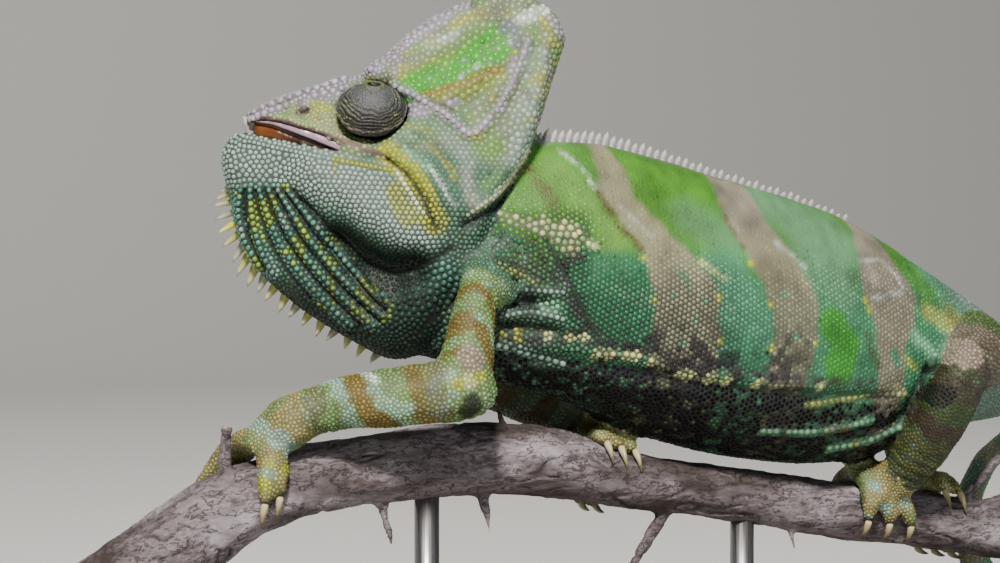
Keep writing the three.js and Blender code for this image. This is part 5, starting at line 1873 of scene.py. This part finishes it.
def build_mouth():
    """The lining that closes the open mouth: a pink gum under the upper lip over orange-brown flesh, near
    black further in with painted shade.
    """
    body = shared("skin", Skin)
    stations = np.concatenate([np.linspace(-53.9, -51.2, 12), np.linspace(-51, -23.6, 44)])
    points, tones, count = [], [], len(MOUTH_ROWS)
    for x in stations:
        roof, floor = height_of(UPPER_LIP, x), height_of(LOWER_LIP, x)
        gum = np.interp(x, (-51.4, -49, -39.3, -30), (0.25, 0.4, 1.1, 1.5))
        wide = [body.half_width(x, UPPER_LIP, 0.7), body.half_width(x, LOWER_LIP, -0.7)]
        bulb = ramp(-x, 51.0, 51.6)
        for side in (-1, 1):
            for drop, inset, tone in MOUTH_ROWS:
                z = max(roof + drop * (gum if drop < 0 and x > -51.4 else 1), floor - 0.5)
                share = np.clip((roof - z) / (roof - floor), 0, 1)
                width = wide[0] + (wide[1] - wide[0]) * share
                inner = width - inset - 1.2 * ramp(x, -26.5, -23.6)
                past = max(-51.6 - x, 0) / (2.32 - 0.5 * share)
                outer = min((2.4 + 0.3 * share) * math.sqrt(max(1 - past ** 2, 0.004)), width + 0.1)
                points.append((x, side * max(inner + (outer - inner) * bulb, 0.1), z))
                tones.append(-1 if x < -51.5 else tone)
    faces = []
    for j in range(len(stations) - 1):
        a, b = j * count * 2, (j + 1) * count * 2
        for k in range(count - 1):
            faces.append((a + k, a + k + 1, b + k + 1, b + k))
            faces.append((a + count + k, b + count + k, b + count + k + 1, a + count + k + 1))
        faces.append((a, b, b + count, a + count))
        faces.append((a + count - 1, a + 2 * count - 1, b + 2 * count - 1, b + count - 1))
    for base in (0, (len(stations) - 1) * count * 2):
        faces.append((*range(base, base + count), *range(base + 2 * count - 1, base + count - 1, -1)))
    points = np.array(points)
    mesh = mesh_from("mouth_lining", to_world(turned(points, HEAD_TURN)), faces)
    flesh = np.clip(tones, 0, 1)
    colours = plain("#947c8c", len(points))
    # Painted shade: the flesh near black, with its own orange-brown towards the front.
    colours = mix(colours, "#260c08", flesh)
    colours = mix(colours, "#643818", flesh * ramp(-points[:, 0], 41, 50))
    colours = mix(colours, "#9c7a80", ramp(noise(points, 1.5, 71), 0.1, 0.8) * (1 - flesh) * 0.4)
    colours[np.array(tones) < 0] = linear("pale_lip")
    paint(mesh, "marking", colours)
    outward(mesh)
    obj = surfaced("mouth_lining", mesh, "mouth", mouth_material)
    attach(obj, "root")


def build_claws():
    """Each claw as a round curved horn that narrows to its point."""
    for name in CLAW_NODES:
        mesh, _ = cad_block([name])
        obj = new_object(name + "_horn", mesh)
        change = obj.modifiers.new("Round", "SUBSURF")
        change.levels = change.render_levels = 2
        result = plain_copy(obj, name + "_horn")
        bpy.data.objects.remove(obj)
        points = to_animal(mesh_points(result))
        foot = to_animal(mesh_points(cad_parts[name.split("_claw_")[0] + "_foot"].data))
        middle = points.mean(0)
        root_side = foot[np.argmin(np.linalg.norm(foot - middle, axis=1))]
        _, _, axes = np.linalg.svd(points - middle, full_matrices=False)
        along = axes[0] if (middle - root_side) @ axes[0] > 0 else -axes[0]
        share = (points - middle) @ along
        share = (share - share.min()) / (share.max() - share.min())
        normals = vertex_values(result, "normal")
        points = points + normals * (0.18 * (1 - share))[:, None]
        move_points(result, to_world(points))
        store(result, "tip", share)
        horn = surfaced(name + "_horn", result, "horn", claw_material)
        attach(horn, "root")
        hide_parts(name)


def build_perch():
    """The cut branch: cracked bark, knots at the thorns, pale wood at both cuts."""
    tools = bpy.context.scene.chameleon_perch
    block, _ = cad_block(["perch"], -0.1)
    mesh = remeshed(block, 0.58, "perch_bark")
    relax(mesh, np.full(len(mesh.vertices), 6.0))
    points = to_animal(mesh_points(mesh))
    normals = vertex_values(mesh, "normal")
    x, _, z = points.T
    ends = (x < x.min() + 1.2) & (normals[:, 0] < -0.5) | (x > 139) & (normals[:, 0] > 0.6)
    stub = (np.abs(x + 65) < 6) & (normals[:, 2] > 0.75) & (z > -35)
    cut = (ends | stub).astype(float)
    bent = points + np.stack([noise(points, 9, 65), noise(points, 7, 66), noise(points, 7, 67)], axis=1) * 1.4
    cracks = ramp(1 - np.abs(noise(bent * (0.14, 1.0, 1.0), 2.4, 61)), 0.9, 1.0)
    plates = noise(bent * (0.3, 1.0, 1.0), 3.2, 62) * 0.5 + noise(points, 11, 63) * 0.5
    plates = plates + noise(points, 1.6, 64) * 0.15
    depth = cracks * ramp(noise(points, 8, 68), -0.4, 0.3) * (1 - cut)
    push = tools.relief / MM * (plates - 0.8 * depth) * (1 - cut)
    move_points(mesh, to_world(points + normals * push[:, None]))
    # Depth: how dark the cracks and the low places between the plates are, partly dark inner bark and partly
    # painted shade.
    store(mesh, "depth", np.clip(depth * 0.85 + ramp(-plates, 0.4, 0.8) * 0.3, 0, 1))
    store(mesh, "cut", cut)
    obj = surfaced("perch_bark", mesh, "bark", bark_material)
    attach(obj, "root")
    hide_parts("perch")


# Edge of the board as height and how far it stands in, and a rod's collar as share of the rod's radius and
# height, all in metres.
BOARD_PROFILE = [
    (0, 0.0012), (0.0012, 0), (0.0084, 0), (0.0102, 0.0005), (0.0114, 0.0015), (0.012, 0.003),
]
COLLAR = [
    (0, 0), (2.1, 0), (2.1, 0.0016), (1.9, 0.0022), (1.25, 0.0026), (1.15, 0.0046), (1.02, 0.005),
    (1, 0.0056),
]


def build_stand():
    """A plain walnut base with a rounded edge, and two steel rods in turned collars."""
    low, high = (np.array(corner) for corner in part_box("stand_base"))
    middle, half = (low + high) / 2, (high - low) / 2
    corner = 0.0165
    rings = []
    for z, inset in BOARD_PROFILE:
        ring = []
        for k in range(4):
            sx, sy = ((1, 1), (-1, 1), (-1, -1), (1, -1))[k]
            for i in range(13):
                angle = math.pi / 2 * (k + i / 12)
                reach = corner - inset
                ring.append((
                    middle[0] + sx * (half[0] - corner) + reach * math.cos(angle),
                    middle[1] + sy * (half[1] - corner) + reach * math.sin(angle), low[2] + z))
        rings.append(ring)
    count = len(rings[0])
    points = [p for ring in rings for p in ring]
    faces = [tuple(range(count))[::-1], tuple(range((len(rings) - 1) * count, len(rings) * count))]
    mesh = mesh_from("stand_board", points, faces + ring_faces(len(rings), count))
    mesh.materials.append(shared("walnut", board_material))
    for polygon in mesh.polygons:
        polygon.use_smooth = len(polygon.vertices) == 4
    board = new_object("stand_board", mesh)
    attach(board, "root")
    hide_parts("stand_base")
    for name in STAND_NODES[1:]:
        low, high = (np.array(corner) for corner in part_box(name))
        middle = (low + high) / 2
        radius = (high[0] - low[0]) / 2
        height = high[2] - low[2] + 0.0008
        profile = [(radius * reach, z) for reach, z in COLLAR] + [(radius, height), (0, height)]
        points, around = [], 40
        for reach, z in profile:
            for i in range(around):
                angle = 2 * math.pi * i / around
                points.append((middle[0] + reach * math.cos(angle), middle[1] + reach * math.sin(angle),
                               low[2] - 0.0003 + z))
        faces = ring_faces(len(profile), around)
        mesh = mesh_from(name + "_turned", points, faces)
        outward(mesh)
        rod = surfaced(name + "_turned", mesh, "steel", steel_material)
        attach(rod, "root")
        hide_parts(name)


CAMERA = {"place": (-0.3005, -0.5796, 0.1282), "way": (0.42236, 0.90576, -0.03490), "lens": 110.0}


def build_stage():
    """Pale floor and backdrop, soft studio lights, and the camera."""
    tools = bpy.context.scene.chameleon_stage
    pale = Finish("Studio paper").done({"Base Color": (*tools.paper, 1.0), "Roughness": 0.9})
    points, faces = [], []
    profile = [(-3.0, 0.0), (1.2, 0.0)]
    for angle in np.linspace(0, math.pi / 2, 16)[1:]:
        profile.append((1.2 + 0.6 * math.sin(angle), 0.6 - 0.6 * math.cos(angle)))
    profile.append((1.8, 2.6))
    for y, z in profile:
        points += [(-3.5, y, z), (3.5, y, z)]
    for j in range(len(profile) - 1):
        faces.append((2 * j, 2 * j + 1, 2 * j + 3, 2 * j + 2))
    mesh = mesh_from("floor", points, faces)
    smooth_shaded(mesh)
    mesh.materials.append(pale)
    floor = new_object("floor", mesh)
    target = Vector((-0.02, 0.0, 0.1))
    for name, place, size, power, tint in (
        ("key", (-0.5, -0.85, 1.0), 0.15, 40.0, "#fff8ee"),
        ("fill", (0.9, -1.2, 0.5), 1.2, 3.0, "#e8f0ff"),
        ("top", (0.2, 0.3, 1.4), 0.6, 5.0, "#ffffff"),
    ):
        data = bpy.data.lights.new(name, "AREA")
        data.shape = "DISK"
        data.size = size
        data.energy = power * tools.power
        data.color = linear(tint)
        lamp = bpy.data.objects.new(name, data)
        lamp.location = place
        lamp.rotation_euler = (target - Vector(place)).to_track_quat("-Z", "Y").to_euler()
        bpy.context.scene.collection.objects.link(lamp)
    world = bpy.data.worlds.new("Studio")
    world.use_nodes = True
    world.node_tree.nodes["Background"].inputs[0].default_value = opaque("#dfe4ea")
    world.node_tree.nodes["Background"].inputs[1].default_value = tools.ambient
    bpy.context.scene.world = world
    lens = bpy.data.cameras.new("camera")
    lens.lens = CAMERA["lens"]
    lens.sensor_width = 36.0
    lens.clip_start = 0.01
    camera = bpy.data.objects.new("camera", lens)
    camera.location = CAMERA["place"]
    camera.rotation_euler = Vector(CAMERA["way"]).to_track_quat("-Z", "Y").to_euler()
    bpy.context.scene.collection.objects.link(camera)
    bpy.context.scene.camera = camera


# ---------------------------------------------------------------- the add-on


class ChameleonSkinSettings(bpy.types.PropertyGroup):
    voxel: bpy.props.FloatProperty(
        name="Skin fineness", description="Size of the skin's faces", default=0.0009, min=0.0004, max=0.002,
        unit="LENGTH", precision=5)
    folds: bpy.props.FloatProperty(
        name="Folds", description="Strength of the ridges and creases", default=1.0, min=0.0, max=2.0,
        subtype="FACTOR")


class ChameleonScaleSettings(bpy.types.PropertyGroup):
    size: bpy.props.FloatProperty(
        name="Scale size", description="Size of all scales against life size", default=1.0, min=0.8, max=2.0,
        subtype="FACTOR")
    packing: bpy.props.FloatProperty(
        name="Packing", description="How many scales are laid against a perfect packing", default=1.0,
        min=0.5, max=1.2, subtype="FACTOR")
    seam: bpy.props.FloatProperty(
        name="Seam", description="Share of a scale's reach that is left open as soft skin", default=0.07,
        min=0.0, max=0.4, subtype="FACTOR")
    variation: bpy.props.FloatProperty(
        name="Variation", description="How much the scales differ in tone", default=0.13, min=0.0, max=0.5,
        subtype="FACTOR")
    easing: bpy.props.IntProperty(
        name="Easing", description="Passes that push the scales apart", default=14, min=0, max=40)
    seed: bpy.props.IntProperty(name="Seed", description="Changes where the scales fall", default=7, min=0)


class ChameleonPerchSettings(bpy.types.PropertyGroup):
    relief: bpy.props.FloatProperty(
        name="Bark relief", description="Height of the bark's plates and cracks", default=0.0008, min=0.0,
        max=0.003, unit="LENGTH", precision=5)


class ChameleonStageSettings(bpy.types.PropertyGroup):
    paper: bpy.props.FloatVectorProperty(
        name="Paper", description="Colour of floor and backdrop", default=linear("#d9dad8"), subtype="COLOR",
        min=0.0, max=1.0)
    power: bpy.props.FloatProperty(
        name="Light", description="Strength of the studio lights", default=1.0, min=0.0, max=10.0)
    ambient: bpy.props.FloatProperty(
        name="Ambient", description="Strength of the light from all round", default=0.12, min=0.0, max=5.0)


class CHAMELEON_OT_skin(bpy.types.Operator):
    """Build the one skin over all the flesh"""

    bl_idname = "chameleon.skin"
    bl_label = "Skin"

    def execute(self, context):
        build_skin()
        return {"FINISHED"}


class CHAMELEON_OT_scales(bpy.types.Operator):
    """Grow the scales on the skin"""

    bl_idname = "chameleon.scales"
    bl_label = "Scales"

    def execute(self, context):
        build_scales()
        return {"FINISHED"}


class CHAMELEON_OT_spines(bpy.types.Operator):
    """Add the cones of the throat and the back"""

    bl_idname = "chameleon.spines"
    bl_label = "Spines"

    def execute(self, context):
        build_spines()
        return {"FINISHED"}


class CHAMELEON_OT_eyes(bpy.types.Operator):
    """Build the turret eyes"""

    bl_idname = "chameleon.eyes"
    bl_label = "Eyes"

    def execute(self, context):
        build_eyes()
        return {"FINISHED"}


class CHAMELEON_OT_mouth(bpy.types.Operator):
    """Line the open mouth"""

    bl_idname = "chameleon.mouth"
    bl_label = "Mouth"

    def execute(self, context):
        build_mouth()
        return {"FINISHED"}


class CHAMELEON_OT_claws(bpy.types.Operator):
    """Build the claws"""

    bl_idname = "chameleon.claws"
    bl_label = "Claws"

    def execute(self, context):
        build_claws()
        return {"FINISHED"}


class CHAMELEON_OT_perch(bpy.types.Operator):
    """Build the branch"""

    bl_idname = "chameleon.perch"
    bl_label = "Perch"

    def execute(self, context):
        build_perch()
        return {"FINISHED"}


class CHAMELEON_OT_stand(bpy.types.Operator):
    """Build the display stand"""

    bl_idname = "chameleon.stand"
    bl_label = "Stand"

    def execute(self, context):
        build_stand()
        return {"FINISHED"}


class CHAMELEON_OT_stage(bpy.types.Operator):
    """Add the floor, the lights and the camera"""

    bl_idname = "chameleon.stage"
    bl_label = "Stage"

    def execute(self, context):
        build_stage()
        return {"FINISHED"}


OPERATORS = [
    CHAMELEON_OT_skin, CHAMELEON_OT_scales, CHAMELEON_OT_spines, CHAMELEON_OT_eyes, CHAMELEON_OT_mouth,
    CHAMELEON_OT_claws, CHAMELEON_OT_perch, CHAMELEON_OT_stand, CHAMELEON_OT_stage,
]


class CHAMELEON_PT_sidebar(bpy.types.Panel):
    """Sizes and builders of the chameleon"""

    bl_idname = "CHAMELEON_PT_sidebar"
    bl_label = "Chameleon"
    bl_space_type = "VIEW_3D"
    bl_region_type = "UI"
    bl_category = "Chameleon"

    def draw(self, context):
        for group in SETTINGS:
            values = getattr(context.scene, group)
            for key in values.__annotations__:
                self.layout.prop(values, key)
        for kind in OPERATORS:
            self.layout.operator(kind.bl_idname)


SETTINGS = {
    "chameleon_skin": ChameleonSkinSettings,
    "chameleon_scales": ChameleonScaleSettings,
    "chameleon_perch": ChameleonPerchSettings,
    "chameleon_stage": ChameleonStageSettings,
}


def register():
    for kind in [*SETTINGS.values(), *OPERATORS, CHAMELEON_PT_sidebar]:
        bpy.utils.register_class(kind)
    for name, kind in SETTINGS.items():
        setattr(bpy.types.Scene, name, bpy.props.PointerProperty(type=kind))


def unregister():
    for name in SETTINGS:
        delattr(bpy.types.Scene, name)
    for kind in reversed([*SETTINGS.values(), *OPERATORS, CHAMELEON_PT_sidebar]):
        bpy.utils.unregister_class(kind)


def main():
    register()
    for kind in OPERATORS:
        group, name = kind.bl_idname.split(".")
        getattr(getattr(bpy.ops, group), name)()


if __name__ == "__main__":
    main()
